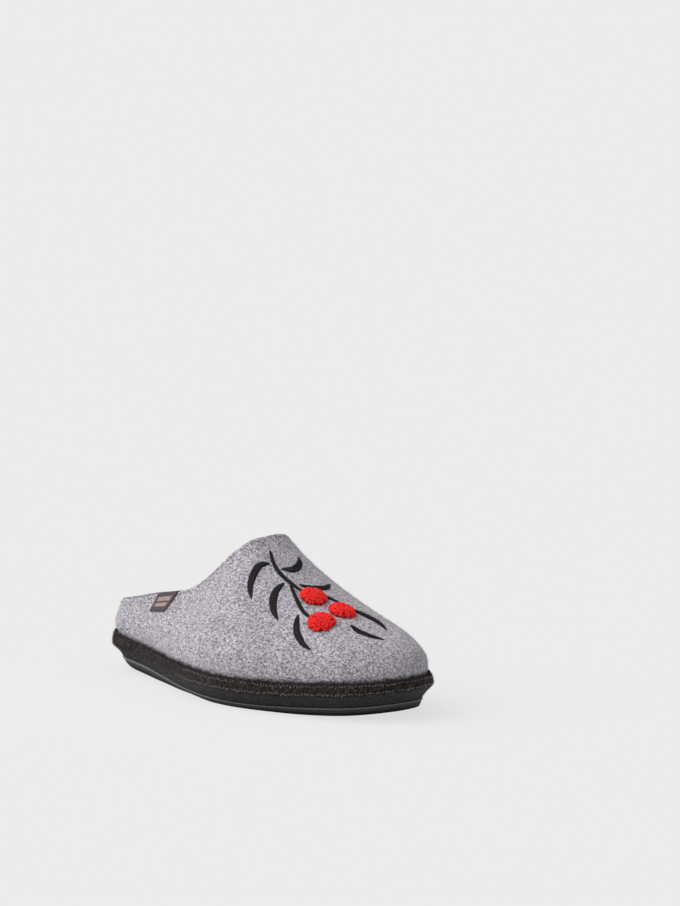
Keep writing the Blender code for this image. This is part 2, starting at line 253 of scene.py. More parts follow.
@dataclass(frozen=True)
class Nap:
    """Loose wool hairs on a felt surface: curved spikes of three sides, rooted just under it.

    Attributes:
        count: number of hairs.
        length: shortest and longest, in metres.
        radius: a hair's radius at its root.
        lean: smallest and largest angle from the outward direction, in radians.
        rise: how strongly the hairs turn up the surface, from 0, any way, to 1, straight up.
        seed: picks the hairs.
        tuft: width of the tufts in which longer hairs stand, in metres, or 0 for none.
    """

    count: int
    length: tuple[float, float]
    radius: float
    lean: tuple[float, float]
    rise: float
    seed: int
    tuft: float = 0.0

    def grow(self, points: Array, chance: Array | None = None) -> Grid:
        """Scatters hairs evenly by area over a grid surface.

        A hair is root + L * (t * aim + t^2 * curl), for t from 0 to 1, with a radius that falls to zero.

        Args:
            points: the surface, shape (rows, columns, 3), whose columns go round and rows go up.
            chance: optional weight for each point.

        Returns:
            The hairs as closed tubes, each with one mark, its shade.
        """
        rng = np.random.default_rng(self.seed)
        up = points[1:, :-1] - points[:-1, :-1]
        round_ = points[:-1, 1:] - points[:-1, :-1]
        faces = np.cross(round_, up)
        weight = np.linalg.norm(faces, axis=-1) * (1 if chance is None else chance[:-1, :-1])
        cell = rng.choice(weight.size, self.count, p=(weight / weight.sum()).ravel())
        row, column = np.unravel_index(cell, weight.shape)
        s, t = rng.random((2, self.count, 1))
        root = points[row, column] + s * up[row, column] + t * round_[row, column]
        outward, rising = unit(faces[row, column]), unit(up[row, column])
        beside = np.cross(outward, rising)
        turn = rng.uniform(-np.pi, np.pi, (self.count, 1)) * (1 - self.rise)
        lie = rising * np.cos(turn) + beside * np.sin(turn)
        lean = rng.uniform(*self.lean, (self.count, 1))
        aim = outward * np.cos(lean) + lie * np.sin(lean)
        curl = unit(rng.normal(size=(self.count, 3))) * rng.uniform(0.1, 0.5, (self.count, 1))
        size = rng.uniform(*self.length, (self.count, 1))[:, None]
        if self.tuft:
            size = size * (0.35 + 1.1 * eased(0.5 + lumps(root, self.tuft, self.seed)))[:, None, None]
        step = np.array([-0.06, 0.35, 0.7, 1.0])[:, None]
        paths = root[:, None] + size * (step * aim[:, None] + step**2 * curl[:, None])
        radii = self.radius * np.array([0.0, 1.0, 0.8, 0.0])
        hairs = tubes(paths, radii, sides=3)
        shade = np.broadcast_to(rng.random((self.count, 1, 1)), hairs.shape[:-1])
        return Grid(hairs, marks={"shade": shade})


@dataclass(frozen=True)
class Last:
    """The slipper's shape, in metres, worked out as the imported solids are.

    Attributes:
        widths: at the heel, the waist, the ball and the toe.
        outline: station as a share of length, the number of the width that the row follows, and the shares
            of it that lie on the outer and on the inner side of the axis.
        band_heights: station, share of the band's height at the heel, share of its height at the ball.
        spokes: place on the half outline (0 to 1); the collar's station, its distance from the axis as a
            share of half its width and its height share; rise, flare and reach as shares of the spoke's
            span; and the slope at the collar in degrees.
    """

    length: float = 0.260
    widths: tuple[float, ...] = (0.067, 0.090, 0.108, 0.073)
    instep_height: float = 0.101
    collar_back_height: float = 0.0463
    collar_width: float = 0.054
    felt: float = 0.0030
    clearance: float = 0.0003
    toe_spring: float = 0.0066
    heel_bevel_lift: float = 0.0050
    heel_bevel_undercut: float = 0.0050
    arch_lift: float = 0.0005
    heel_lift_thickness: float = 0.0066
    outsole_thickness: float = 0.0034
    forepart_thickness: float = 0.0050
    outsole_top_inset: float = 0.0070
    outsole_floor_inset: float = 0.0088
    outsole_rib: float = 0.0006
    band_height_heel: float = 0.0192
    band_height_ball: float = 0.0165
    band_top_inset: float = 0.0022
    band_lip: float = 0.0013
    tray_depth: float = 0.0080
    insole_thickness: float = 0.0060
    fineness: int = 4000
    outline: tuple = (
        (0.012, 0, 0.250, 0.242),
        (0.050, 0, 0.440, 0.420),
        (0.134, 0, 0.500, 0.500),
        (0.250, 1, 0.455, 0.391),
        (0.380, 1, 0.579, 0.421),
        (0.510, 2, 0.560, 0.393),
        (0.620, 2, 0.552, 0.448),
        (0.730, 2, 0.477, 0.461),
        (0.830, 2, 0.393, 0.421),
        (0.905, 3, 0.475, 0.525),
        (0.960, 3, 0.308, 0.385),
        (0.990, 3, 0.136, 0.222),
    )
    band_heights: tuple = (
        (0.00, 0.825, 0.00),
        (0.06, 0.845, 0.00),
        (0.14, 0.815, 0.00),
        (0.34, 0.00, 0.995),
        (0.50, 0.00, 1.02),
        (0.70, 0.00, 0.98),
        (0.86, 0.00, 0.975),
        (1.00, 0.00, 0.90),
    )
    spokes: tuple = (
        (0.00, 0.0310, 0.00, 0.000, 0.34, 0.235, 0.30, 68),
        (0.10, 0.0360, 0.66, 0.000, 0.34, 0.235, 0.30, 68),
        (0.20, 0.1150, 0.93, 0.060, 0.34, 0.190, 0.32, 64),
        (0.30, 0.2190, 1.00, 0.185, 0.34, 0.150, 0.34, 60),
        (0.40, 0.3230, 0.97, 0.308, 0.33, 0.120, 0.36, 58),
        (0.52, 0.4120, 0.90, 0.590, 0.30, 0.090, 0.38, 53),
        (0.64, 0.4740, 0.76, 0.845, 0.26, 0.070, 0.40, 48),
        (0.76, 0.5020, 0.54, 0.958, 0.21, 0.050, 0.44, 46),
        (0.88, 0.5120, 0.28, 0.990, 0.22, 0.045, 0.50, 46),
        (1.00, 0.5150, 0.00, 1.000, 0.20, 0.041, 0.52, 46),
    )
    toe_spring_span: tuple = ((0.72, 0.0), (1.00, 1.0))
    heel_bevel_span: tuple = ((0.00, 1.0), (0.24, 0.0))
    arch_span: tuple = ((0.32, 0.0), (0.52, 1.0))
    heel_lift_span: tuple = ((0.12, 1.0), (0.40, 0.0))
    forepart_span: tuple = ((0.60, 0.0), (0.84, 1.0))

    @staticmethod
    def closed_curve(knots: Array, rows: Array, at: Array) -> Array:
        """Smooth closed curve of period 1 through rows at knots, a cubic with no jump in curvature.

        Args:
            knots: rising positions in 0 to 1.
            rows: one row of values per knot.
            at: the positions to read.

        Returns:
            One row per position.
        """
        at = np.asarray(at) % 1.0
        count = len(knots)
        gaps = np.diff(np.append(knots, knots[0] + 1.0))
        steep = (np.roll(rows, -1, axis=0) - rows) / gaps[:, None]
        own = np.arange(count)
        system = np.zeros((count, count))
        system[own, own - 1] += gaps[own - 1]
        system[own, own] += 2 * (gaps[own - 1] + gaps[own])
        system[own, (own + 1) % count] += gaps[own]
        bends = np.linalg.solve(system, 6 * (steep - np.roll(steep, 1, axis=0)))
        place = np.searchsorted(knots, at, side="right") - 1
        after = (place + 1) % count
        gap = gaps[place][:, None]
        right = ((at - knots[place]) % 1.0)[:, None] / gap
        left = 1 - right
        curve = left * rows[place] + right * rows[after]
        return curve + gap**2 / 6 * ((left**3 - left) * bends[place] + (right**3 - right) * bends[after])

    @cached_property
    def ridge(self) -> tuple[Array, Array]:
        """The band's widest line as many (along, across) points, and their places."""
        outer = [(at * self.length, share * self.widths[k]) for at, k, share, _ in self.outline]
        inner = [(at * self.length, -share * self.widths[k]) for at, k, _, share in self.outline]
        points = np.array([(0.0, 0.0), *outer, (self.length, 0.0), *reversed(inner)])
        steps = np.sqrt(np.linalg.norm(np.roll(points, -1, axis=0) - points, axis=1))
        knots = np.append(0, np.cumsum(steps)[:-1]) / steps.sum()
        dense = self.closed_curve(knots, points, np.arange(self.fineness) / self.fineness)
        dense = np.vstack([dense, dense[:1]])
        run = lengths_along(dense)
        tip = np.argmax(dense[:, 0])
        outer_places = 0.5 * run / run[tip]
        inner_places = 0.5 + 0.5 * (run - run[tip]) / (run[-1] - run[tip])
        return dense, np.where(np.arange(len(dense)) <= tip, outer_places, inner_places)

    @cached_property
    def middle(self) -> Array:
        """Centre of the ridge line's box, which lies over the world's origin."""
        points = self.ridge[0]
        return (points.max(axis=0) + points.min(axis=0)) / 2

    def line(self, places: Array, inset: Array | float) -> tuple[Array, Array]:
        """Points (along, across) of the ridge line moved inwards, and the outward directions there."""
        points, known = self.ridge
        step = 8 / self.fineness
        before, here, after = (between(known, points, (places + k * step) % 1.0) for k in (-1, 0, 1))
        tangent = unit(after - before)
        outward = np.stack([-tangent[:, 1], tangent[:, 0]], axis=-1)
        return here - np.reshape(inset, (-1, 1)) * outward, outward

    def share_of(self, span: tuple, along: Array) -> Array:
        """How much of a span's form there is at each point, from 0 to 1."""
        return np.interp(along / self.length, *zip(*span))

    def heel_bevel(self, along: Array) -> Array:
        """One at the back of the heel, falling to zero at the end of the bevel."""
        return self.share_of(self.heel_bevel_span, along) ** 2

    def lift(self, along: Array) -> Array:
        """Rise of the whole sole off the floor at its two ends."""
        spring = self.share_of(self.toe_spring_span, along) ** 2
        return spring * self.toe_spring + self.heel_bevel(along) * self.heel_bevel_lift

    def floor_height(self, along: Array) -> Array:
        """Underside of the outsole, flat on the floor but for its ends and a slight arch."""
        return self.lift(along) + np.sin(np.pi * self.share_of(self.arch_span, along)) ** 2 * self.arch_lift

    def outsole_height(self, along: Array) -> Array:
        """Top of the outsole, thicker under the heel and a little under the forepart."""
        thin = self.outsole_thickness
        heel = eased(self.share_of(self.heel_lift_span, along)) * (self.heel_lift_thickness - thin)
        forepart = eased(self.share_of(self.forepart_span, along)) * (self.forepart_thickness - thin)
        return self.lift(along) + thin + heel + forepart

    def band_top(self, along: Array) -> Array:
        """Height of the band's top edge."""
        table = np.array(self.band_heights)
        heights = table[:, 1] * self.band_height_heel + table[:, 2] * self.band_height_ball
        return self.outsole_height(along) + through_table(table[:, 0], heights, along / self.length)

    def tray_floor(self, along: Array) -> Array:
        """Height of the floor of the footbed's tray."""
        return self.band_top(along) - self.tray_depth

    def world(self, points: Array, heights: Array) -> Array:
        """World positions of (along, across) points at heights."""
        flat = self.middle - points
        return np.stack([flat[..., 1], flat[..., 0], heights], axis=-1)

    @staticmethod
    def sideways(outward: Array) -> Array:
        """World directions of level (along, across) ones."""
        return np.stack([-outward[:, 1], -outward[:, 0], np.zeros(len(outward))], axis=-1)

    @property
    def upper_inset(self) -> float:
        """Distance of the upper's outer face from the ridge line where it stands in the tray."""
        return self.band_top_inset + self.band_lip + self.clearance

    def upper_face(self, places: Array, shares: Array) -> Array:
        """Outer face of the upper.

        Each spoke is a cubic curve: it leaves the band with a flare and meets the collar at its own slope.

        Args:
            places: shape (columns,).
            shares: shape (..., columns) or (rows, 1).

        Returns:
            Points of shape (..., columns, 3).
        """
        table = np.array(self.spokes)
        mirrored = table[1:-1][::-1] * (-1, 1, -1, 1, 1, 1, 1, 1) + (2, 0, 0, 0, 0, 0, 0, 0)
        rows = np.vstack([table, mirrored])
        found = self.closed_curve(rows[:, 0] / 2, rows[:, 1:], places)
        station, across, height, rise, flare, reach, slope = found.T[:, :, None]
        foot, outward = self.line(places, self.upper_inset)
        start = self.world(foot, self.band_top(foot[:, 0]) + self.clearance)
        collar = np.hstack([station * self.length, across * self.collar_width / 2])
        tall = self.instep_height - self.collar_back_height
        end = self.world(collar, self.collar_back_height + height[:, 0] * tall)
        side = self.sideways(outward)
        span = np.linalg.norm(end - start, axis=1)[:, None]
        level = unit((end - start) * (1, 1, 0))
        tilt = np.radians(slope)
        first = start + span * (rise * UP + flare * side)
        second = end - span * reach * (level * np.cos(tilt) + UP * np.sin(tilt))
        t = np.broadcast_to(shares, np.broadcast_shapes(np.shape(shares), places.shape))[..., None]
        return (1 - t) ** 3 * start + 3 * t * (1 - t) ** 2 * first + 3 * t**2 * (1 - t) * second + t**3 * end

    def upper_normals(self, places: Array, shares: Array) -> Array:
        """Outward unit directions of the upper's face, from small steps round it and up it."""
        step = 4 / self.fineness
        around = self.upper_face(places + step, shares) - self.upper_face(places - step, shares)
        rising = self.upper_face(places, shares + step) - self.upper_face(places, shares - step)
        return unit(np.cross(around, rising))

    def find(self, along: Array, across: Array) -> tuple[Array, Array]:
        """Places and shares of the points of the vamp that lie under (along, across), seen from above.

        The nearest of a coarse grid's points starts each, and eight Newton steps bring it in.
        """
        places, shares = np.meshgrid(np.linspace(0.25, 0.75, 61), np.linspace(0.05, 1, 30))
        goal = self.world(np.stack([along, across], axis=-1), np.zeros(len(along)))[:, :2]
        coarse = self.upper_face(places[0], shares[:, :1])[..., :2].reshape(-1, 2)
        nearest = np.linalg.norm(coarse[None] - goal[:, None], axis=-1).argmin(axis=1)
        at = np.stack([places.ravel()[nearest], shares.ravel()[nearest]], axis=-1)
        step = 1e-4
        for _ in range(8):
            here = self.upper_face(at[:, 0], at[:, 1])[:, :2]
            by_place = (self.upper_face(at[:, 0] + step, at[:, 1])[:, :2] - here) / step
            by_share = (self.upper_face(at[:, 0], at[:, 1] + step)[:, :2] - here) / step
            slopes = np.stack([by_place, by_share], axis=-1)
            at = at + np.clip(np.linalg.solve(slopes, (goal - here)[..., None])[..., 0], -0.05, 0.05)
        return at[:, 0], at[:, 1]


class Recipe:
    """A material in the making, whose patterns are measured in metres.

    Attributes:
        material: the material.
        tree: its node tree.
        shader: its one shader node.
    """

    def __init__(self, name: str) -> None:
        """Starts a material, named for what it is made of."""
        self.material = bpy.data.materials.new(name)
        self.material.use_nodes = True
        self.tree = self.material.node_tree
        self.shader = self.tree.nodes["Principled BSDF"]

    def add_node(self, kind: str, settings: dict, links: dict, output: str | int = 0) -> Socket:
        """Adds one node.

        Args:
            kind: the node's type, without the leading ShaderNode.
            settings: values by input name or number, or by the node's own property name.
            links: output sockets by the input name or number that they feed.
            output: name or number of the output to return.

        Returns:
            The output's socket.
        """
        node = self.tree.nodes.new("ShaderNode" + kind)
        for key, value in settings.items():
            if isinstance(key, str) and hasattr(node, key):
                setattr(node, key, value)
            else:
                node.inputs[key].default_value = value
        for key, socket in links.items():
            self.tree.links.new(socket, node.inputs[key])
        return node.outputs[output]

    @cached_property
    def place(self) -> Socket:
        """Object coordinates."""
        return self.add_node("TexCoord", {}, {}, "Object")

    @cached_property
    def uv(self) -> Socket:
        """The piece's own UV map."""
        return self.add_node("UVMap", {"uv_map": "surface"}, {})

    def mark(self, name: str) -> Socket:
        """A mark that the piece's points carry."""
        return self.add_node("Attribute", {"attribute_name": name}, {}, "Fac")

    def mapped(self, **settings: tuple) -> Socket:
        """The object coordinates moved, turned or stretched."""
        return self.add_node("Mapping", settings, {"Vector": self.place})

    def noise(
        self, size: float, detail: float = 2.0, rough: float = 0.5, where: Socket | None = None
    ) -> Socket:
        """Noise with lumps of a size in metres, at the object coordinates unless told where."""
        settings = {"Scale": 1 / size, "Detail": detail, "Roughness": rough}
        return self.add_node("TexNoise", settings, {"Vector": self.place if where is None else where})

    def math(self, operation: str, *values: Socket | float) -> Socket:
        """Joins sockets and numbers by an arithmetic operation."""
        sockets = {k: value for k, value in enumerate(values) if isinstance(value, Socket)}
        numbers = {k: value for k, value in enumerate(values) if k not in sockets}
        return self.add_node("Math", {"operation": operation, **numbers}, sockets)

    def spread(self, value: Socket, source: tuple, target: tuple = (0.0, 1.0)) -> Socket:
        """Maps a value from one (low, high) range to another, held at the ends."""
        settings = dict(zip(("From Min", "From Max", "To Min", "To Max"), source + target))
        return self.add_node("MapRange", settings, {"Value": value})

    def ramp(self, factor: Socket, stops: tuple) -> Socket:
        """Colours a factor by stops of (position, hex colour)."""
        colour = self.add_node("ValToRGB", {}, {"Fac": factor})
        elements = colour.node.color_ramp.elements
        while len(elements) < len(stops):
            elements.new(0.5)
        for element, (position, tone) in zip(elements, stops):
            element.position = position
            element.color = linear(tone)
        return colour

    def mix(self, factor: Socket, first: Socket, second: Socket) -> Socket:
        """Mixes two colours."""
        return self.add_node("Mix", {"data_type": "RGBA"}, {0: factor, 6: first, 7: second}, 2)

    def bump(self, height: Socket, strength: float, distance: float) -> Socket:
        """Normals of a surface that rises and falls by a distance in metres."""
        return self.add_node("Bump", {"Strength": strength, "Distance": distance}, {"Height": height})

    def finish(self, links: dict, values: dict) -> bpy.types.Material:
        """Feeds the shader's inputs with sockets and values, and returns the material."""
        for key, socket in links.items():
            self.tree.links.new(socket, self.shader.inputs[key])
        for key, value in values.items():
            self.shader.inputs[key].default_value = value
        return self.material


@dataclass(frozen=True)
class Felt:
    """Boiled wool felt: matt, melange of dark and pale fibres that lie every way, with a soft nap.

    Attributes:
        name: the material's name.
        tones: colour stops from the darkest fibre to the palest.
        fleck: width of a fibre's mark in metres. A real fibre of 0.03 mm would not show.
        curl: width of the meshes between the pale curled fibres, in metres.
        bump: how deep the matted surface looks, in metres.
        sheen: how much light the nap catches at a grazing angle.
    """

    name: str
    tones: tuple
    fleck: float = 0.92 * MM
    curl: float = 2.4 * MM
    bump: float = 0.35 * MM
    sheen: float = 0.25

    def material(self) -> bpy.types.Material:
        """Three streaked noises at crossed headings mix the fibres, and two contour lines draw curls.

        A pale or dark curl is where a noise lies close to its middle value. It adds
        weight * (1 - |noise - 0.5| / 0.07). A wide noise clouds all.
        """
        felt = Recipe(self.name)
        first, second, third = (
            felt.noise(self.fleck, where=felt.mapped(Rotation=turn, Scale=(1.0, 0.45, 1.0)))
            for turn in ((0.3, 0.9, 0.2), (1.4, 0.2, 1.1), (0.8, 2.1, 2.3))
        )
        fibre = felt.spread(felt.math("ADD", felt.math("ADD", first, second), third), (1.02, 1.98))
        for shift, weight in ((0.0, 0.14), (0.5, -0.31)):
            mesh = felt.noise(self.curl, 3.0, 0.7, felt.mapped(Location=(shift, shift, shift)))
            near = felt.math("ABSOLUTE", felt.math("SUBTRACT", mesh, 0.5))
            fibre = felt.math("ADD", fibre, felt.spread(near, (0.0, 0.07), (weight, 0.0)))
        cloud = felt.spread(felt.noise(9 * MM), (0.0, 1.0), (-0.10, 0.10))
        tone = felt.ramp(felt.math("ADD", fibre, cloud), self.tones)
        matt = {"Roughness": 0.95, "Specular IOR Level": 0.15}
        sheen = {"Sheen Weight": self.sheen, "Sheen Roughness": 0.55}
        return felt.finish(
            {"Base Color": tone, "Normal": felt.bump(fibre, 0.7, self.bump)}, {**matt, **sheen}
        )


@dataclass(frozen=True)
class Hair:
    """Single wool hairs of the nap: matt, each with its own shade between two tones."""

    name: str
    dark: str
    pale: str

    def material(self) -> bpy.types.Material:
        """The hair's own shade mark picks its tone."""
        hair = Recipe(self.name)
        tone = hair.ramp(hair.mark("shade"), ((0.0, self.dark), (1.0, self.pale)))
        return hair.finish({"Base Color": tone}, {"Roughness": 0.9, "Specular IOR Level": 0.2})


@dataclass(frozen=True)
class BandFelt:
    """Black brushed felt of the band: short upright fibres above the ridge, pressed flatter below it.

    Attributes:
        name: the material's name.
        fibre: width of a fibre's mark in metres.
        clump: width of the paler and darker clumps of fibres, in metres.
    """

    name: str = "brushed wool felt, black"
    fibre: float = 0.5 * MM
    clump: float = 1.5 * MM

    def material(self) -> bpy.types.Material:
        """Noise stretched up the band draws the brushed fibres, and a wider noise makes the clumps.

        The fluff mark fades the fibres below the ridge.
        """
        felt = Recipe(self.name)
        brushed = felt.noise(self.fibre, 3.0, 0.65, felt.mapped(Scale=(1.0, 1.0, 0.22)))
        matted = felt.noise(self.fibre, 3.0, 0.6)
        fluff = felt.mark("fluff")
        height = felt.add_node("Mix", {}, {0: fluff, 2: matted, 3: brushed})
        mixed = felt.math("MULTIPLY_ADD", felt.noise(self.clump, rough=0.6), 0.55, height)
        fluffy = felt.ramp(mixed, ((0.59, "050505"), (0.775, "191716"), (0.96, "504b47")))
        pressed = felt.ramp(mixed, ((0.59, "060506"), (0.775, "161415"), (0.96, "484345")))
        return felt.finish(
            {"Base Color": felt.mix(fluff, pressed, fluffy), "Normal": felt.bump(height, 0.8, 0.5 * MM)},
            {"Roughness": 0.9, "Specular IOR Level": 0.25, "Sheen Weight": 0.05, "Sheen Roughness": 0.5},
        )


@dataclass(frozen=True)
class Rubber:
    """Black moulded rubber: satin, slightly mottled, with a pale highlight painted along its rib."""

    name: str = "moulded rubber, black"

    def material(self) -> bpy.types.Material:
        """Fine noise mottles the colour and the gloss, and the highlight mark paints a pale highlight on the
        rib.
        """
        rubber = Recipe(self.name)
        mottle = rubber.noise(1.4 * MM, 4.0, 0.6)
        plain = rubber.ramp(mottle, ((0.3, "040405"), (0.7, "0c0c0e")))
        # Painted highlight: the pale grey that the rib's mark lays on, standing for light caught by the rib.
        highlight_tone = rubber.ramp(mottle, ((0.3, "7f7c80"), (0.7, "a19ea1")))
        return rubber.finish(
            {
                "Base Color": rubber.mix(rubber.mark("rib_highlight"), plain, highlight_tone),
                "Roughness": rubber.spread(mottle, (0.0, 1.0), (0.55, 0.75)),
                "Normal": rubber.bump(mottle, 0.25, 0.1 * MM),
            },
            {"Specular IOR Level": 0.12},
        )


@dataclass(frozen=True)
class Satin:
    """Mercerised embroidery thread laid side by side: dark, with a soft gloss along the threads.

    The threads are drawn 0.5 mm wide, a little coarser than the real 0.35 mm, so that they show.
    """

    name: str = "satin stitch thread, black"
    thread: float = 0.5 * MM

    def material(self) -> bpy.types.Material:
        """Waves along the stroke's own length stand for its threads."""
        satin = Recipe(self.name)
        waves = {"Scale": 2 * np.pi / 20 / self.thread, "Distortion": 0.6, "Detail": 1.0, "Detail Scale": 2.0}
        threads = satin.add_node("TexWave", waves, {"Vector": satin.uv}, "Fac")
        tone = satin.ramp(threads, ((0.0, "010101"), (0.6, "050506"), (1.0, "111114")))
        return satin.finish(
            {"Base Color": tone, "Normal": satin.bump(threads, 0.7, 0.2 * MM)},
            {"Roughness": 0.48, "Specular IOR Level": 0.22},
        )


@dataclass(frozen=True)
class Thread:
    """Spun sewing thread: one colour, slightly lustrous, with a fine twist."""

    name: str
    colour: str
    pale: str

    def material(self) -> bpy.types.Material:
        """Noise as fine as the twist varies the tone."""
        thread = Recipe(self.name)
        tone = thread.ramp(thread.noise(0.6 * MM), ((0.35, self.colour), (0.65, self.pale)))
        return thread.finish({"Base Color": tone}, {"Roughness": 0.65})


@dataclass(frozen=True)
class Pile:
    """Looped wool yarn, bright red: matt and soft, with shade painted deep between its loops."""

    name: str = "looped wool pile, red"

    def material(self) -> bpy.types.Material:
        """The height mark paints shade at the loops' feet and on the pad between them, and fine noise breaks
        up the yarn.
        """
        pile = Recipe(self.name)
        yarn = pile.noise(0.5 * MM, 3.0, 0.6)
        mixed = pile.math("MULTIPLY_ADD", yarn, 0.45, pile.mark("height"))
        # Painted shade: the darkest stop colours the loops' feet and the pad, the palest their tops.
        tone = pile.ramp(mixed, ((0.12, "450104"), (0.6, "d80b10"), (1.15, "ff2823")))
        return pile.finish(
            {"Base Color": tone, "Normal": pile.bump(yarn, 0.6, 0.2 * MM)},
            {"Roughness": 0.85, "Sheen Weight": 0.04, "Sheen Roughness": 0.5},
        )


@dataclass(frozen=True)
class Ribbon:
    """Woven label ribbon: dark brown selvedges and ground with two beige stripes of float weave.

    Its threads are drawn 0.5 mm apart, coarser than the real 0.2 mm, so that the weave shows.
    """

    name: str = "woven ribbon, brown and beige"
    pitch: float = 0.5 * MM

    def material(self) -> bpy.types.Material:
        """Stripes across the ribbon and a checked weave follow its UV map, which is in metres."""
        ribbon = Recipe(self.name)
        checks = {"Color1": (1, 1, 1, 1), "Color2": (0, 0, 0, 1), "Scale": 1 / self.pitch}
        weave = ribbon.add_node("TexChecker", checks, {"Vector": ribbon.uv}, "Fac")
        worn = ribbon.spread(ribbon.noise(1.6 * MM, 1.0, where=ribbon.uv), (0.35, 0.65), (0.72, 1.0))
        shown = ribbon.math("MULTIPLY", ribbon.mark("stripe"), worn)
        ground = ribbon.ramp(weave, ((0.0, "42343b"), (1.0, "594a52")))
        beige = ribbon.ramp(weave, ((0.0, "9c877b"), (1.0, "bfa99d")))
        return ribbon.finish(
            {"Base Color": ribbon.mix(shown, ground, beige), "Normal": ribbon.bump(weave, 0.5, 0.12 * MM)},
            {"Roughness": 0.7},
        )


@dataclass
class Crease:
    """A soft trough (or ridge, if its depth is negative) pressed into the felt along a line on the upper.

    Attributes:
        ends: (place, share) where it starts and where it ends.
        depth: how deep it is in its middle, in metres.
        width: half its width, in metres.
    """

    ends: tuple[tuple[float, float], tuple[float, float]]
    depth: float
    width: float

    def press(self, last: Last, points: Array) -> Array:
        """How far each point moves in: depth * sin(pi t) * exp(-(distance / width)^2), t along the line."""
        steps = np.linspace(0, 1, 25)
        start, end = np.array(self.ends)
        way = start + steps[:, None] * (end - start)
        line = last.upper_face(way[:, 0], way[:, 1])
        moved = np.zeros(points.shape[:-1])
        for t, spot in zip(steps, line):
            gap = np.linalg.norm(points - spot, axis=-1) / self.width
            moved = np.maximum(moved, abs(self.depth) * np.sin(np.pi * t) * np.exp(-(gap**2)))
        return moved * np.sign(self.depth)


@dataclass
class Upper:
    """The grey felt upper: outer face, rounded cut edge and lining face, one wall of felt throughout.

    Attributes:
        waves: height, length and seed of the felt's lumps.
        stitch_drop: distance of the topstitches below the collar's edge.
        stitch_arch: how far a topstitch rises between its ends.
        stitch_sunk: how deep its ends lie in the felt.
    """

    last: Last
    columns: int = 420
    rows: int = 84
    inner_rows: int = 40
    edge_rows: int = 8
    stitch_drop: float = 2.6 * MM
    stitch_pitch: float = 4.4 * MM
    stitch_length: float = 3.0 * MM
    stitch_radius: float = 0.26 * MM
    stitch_arch: float = 0.20 * MM
    stitch_sunk: float = 0.14 * MM
    waves: tuple = ((0.30 * MM, 24 * MM, 3), (0.10 * MM, 7 * MM, 4))
    nap: Nap = Nap(
        count=12000, length=(0.7 * MM, 2.0 * MM), radius=0.03 * MM, lean=(0.5, 1.45), rise=0.0, seed=21
    )
    creases: tuple = (
        Crease(((0.335, 0.86), (0.372, 0.20)), 0.7 * MM, 7 * MM),
        Crease(((0.300, 0.80), (0.330, 0.22)), -0.5 * MM, 7 * MM),
        Crease(((0.672, 0.86), (0.640, 0.20)), 0.8 * MM, 7 * MM),
        Crease(((0.710, 0.80), (0.684, 0.22)), -0.5 * MM, 7 * MM),
        Crease(((0.180, 0.85), (0.215, 0.25)), 0.5 * MM, 6 * MM),
        Crease(((0.835, 0.85), (0.800, 0.25)), 0.5 * MM, 6 * MM),
        Crease(((0.440, 0.30), (0.560, 0.34)), -0.4 * MM, 9 * MM),
    )

    def relief(self, points: Array, shares: Array) -> Array:
        """Outward swell of the felt: creases and lumps, faded out where it meets the band."""
        swell = sum(height * lumps(points, size, seed) for height, size, seed in self.waves)
        for crease in self.creases:
            swell = swell - crease.press(self.last, points)
        return swell * eased(shares / 0.15)

    def edge_share(self, places: Array, below: float) -> Array:
        """Share of the point that lies a short distance below the collar's edge."""
        step = 0.02
        top = self.last.upper_face(places, np.ones_like(places))
        under = self.last.upper_face(places, np.full_like(places, 1 - step))
        return 1 - below * step / np.linalg.norm(top - under, axis=-1)

    def face(self, places: Array, shares: Array) -> tuple[Array, Array]:
        """Points of the swelled outer face and their outward directions."""
        points = self.last.upper_face(places, shares)
        normals = self.last.upper_normals(places, shares)
        full = np.broadcast_to(shares, points.shape[:-1])
        return points + normals * self.relief(points, full)[..., None], normals

    def wall(self) -> tuple[Grid, Array, Array]:
        """The closed wall as one grid whose rows run up the outside, over the edge and down the inside.

        The cut edge is a squarish half round: middle + r * (|cos a|^0.6 * outward + |sin a|^0.6 * rising).

        Returns:
            The grid, the outer face's points and its shares.
        """
        last, half = self.last, self.last.felt / 2
        places = np.linspace(0, 1, self.columns + 1)
        top = self.edge_share(places, half)
        rise = np.linspace(0, 1, self.rows)[:, None] ** 1.1 * top
        outer, normals = self.face(places, rise)
        foot, outward = last.line(places, last.upper_inset)
        base = last.world(foot, last.tray_floor(foot[:, 0]) + last.clearance)
        rising = unit(outer[-1] - outer[-2])
        middle = outer[-1] - normals[-1] * half
        angle = np.linspace(0, np.pi, self.edge_rows + 2)[1:-1, None, None]
        ragged = 1 + 0.06 * lumps(middle, 3 * MM, seed=8)[:, None]
        round_ = np.sign(np.cos(angle)) * np.abs(np.cos(angle)) ** 0.6 * normals[-1]
        edge = middle + half * ragged * (round_ + np.abs(np.sin(angle)) ** 0.6 * rising)
        fall = np.linspace(1, 0, self.inner_rows)[:, None] ** 1.1 * top
        inner, inward = self.face(places, fall)
        inner = inner - inward * last.felt
        inner_base = base - last.sideways(outward) * last.felt
        points = np.concatenate([base[None], outer, edge, inner, inner_base[None], base[None]])
        points[:, -1] = points[:, 0]
        return Grid(points), outer, rise

    def collar_stitches(self) -> Grid:
        """A row of topstitches just below the collar's edge, each sunk into the felt at its two ends."""
        places = np.linspace(0, 1, 1601)
        share = self.edge_share(places, self.stitch_drop)
        line, normals = self.face(places, share)
        run = lengths_along(line)
        count = int(run[-1] / self.stitch_pitch)
        rng = np.random.default_rng(17)
        start = (np.arange(count)[:, None] + rng.uniform(-0.08, 0.08, (count, 1))) * run[-1] / count
        at = (start + np.linspace(0, 1, 7) * self.stitch_length * rng.uniform(0.7, 1, (count, 1))) % run[-1]
        out = unit(between(run, normals, at))
        lift = self.stitch_arch * np.sin(np.pi * np.linspace(0, 1, 7)) - self.stitch_sunk
        radii = self.stitch_radius * np.array([0, 0.8, 1, 1, 1, 0.8, 0])
        return Grid(tubes(between(run, line, at) + out * lift[:, None], radii))

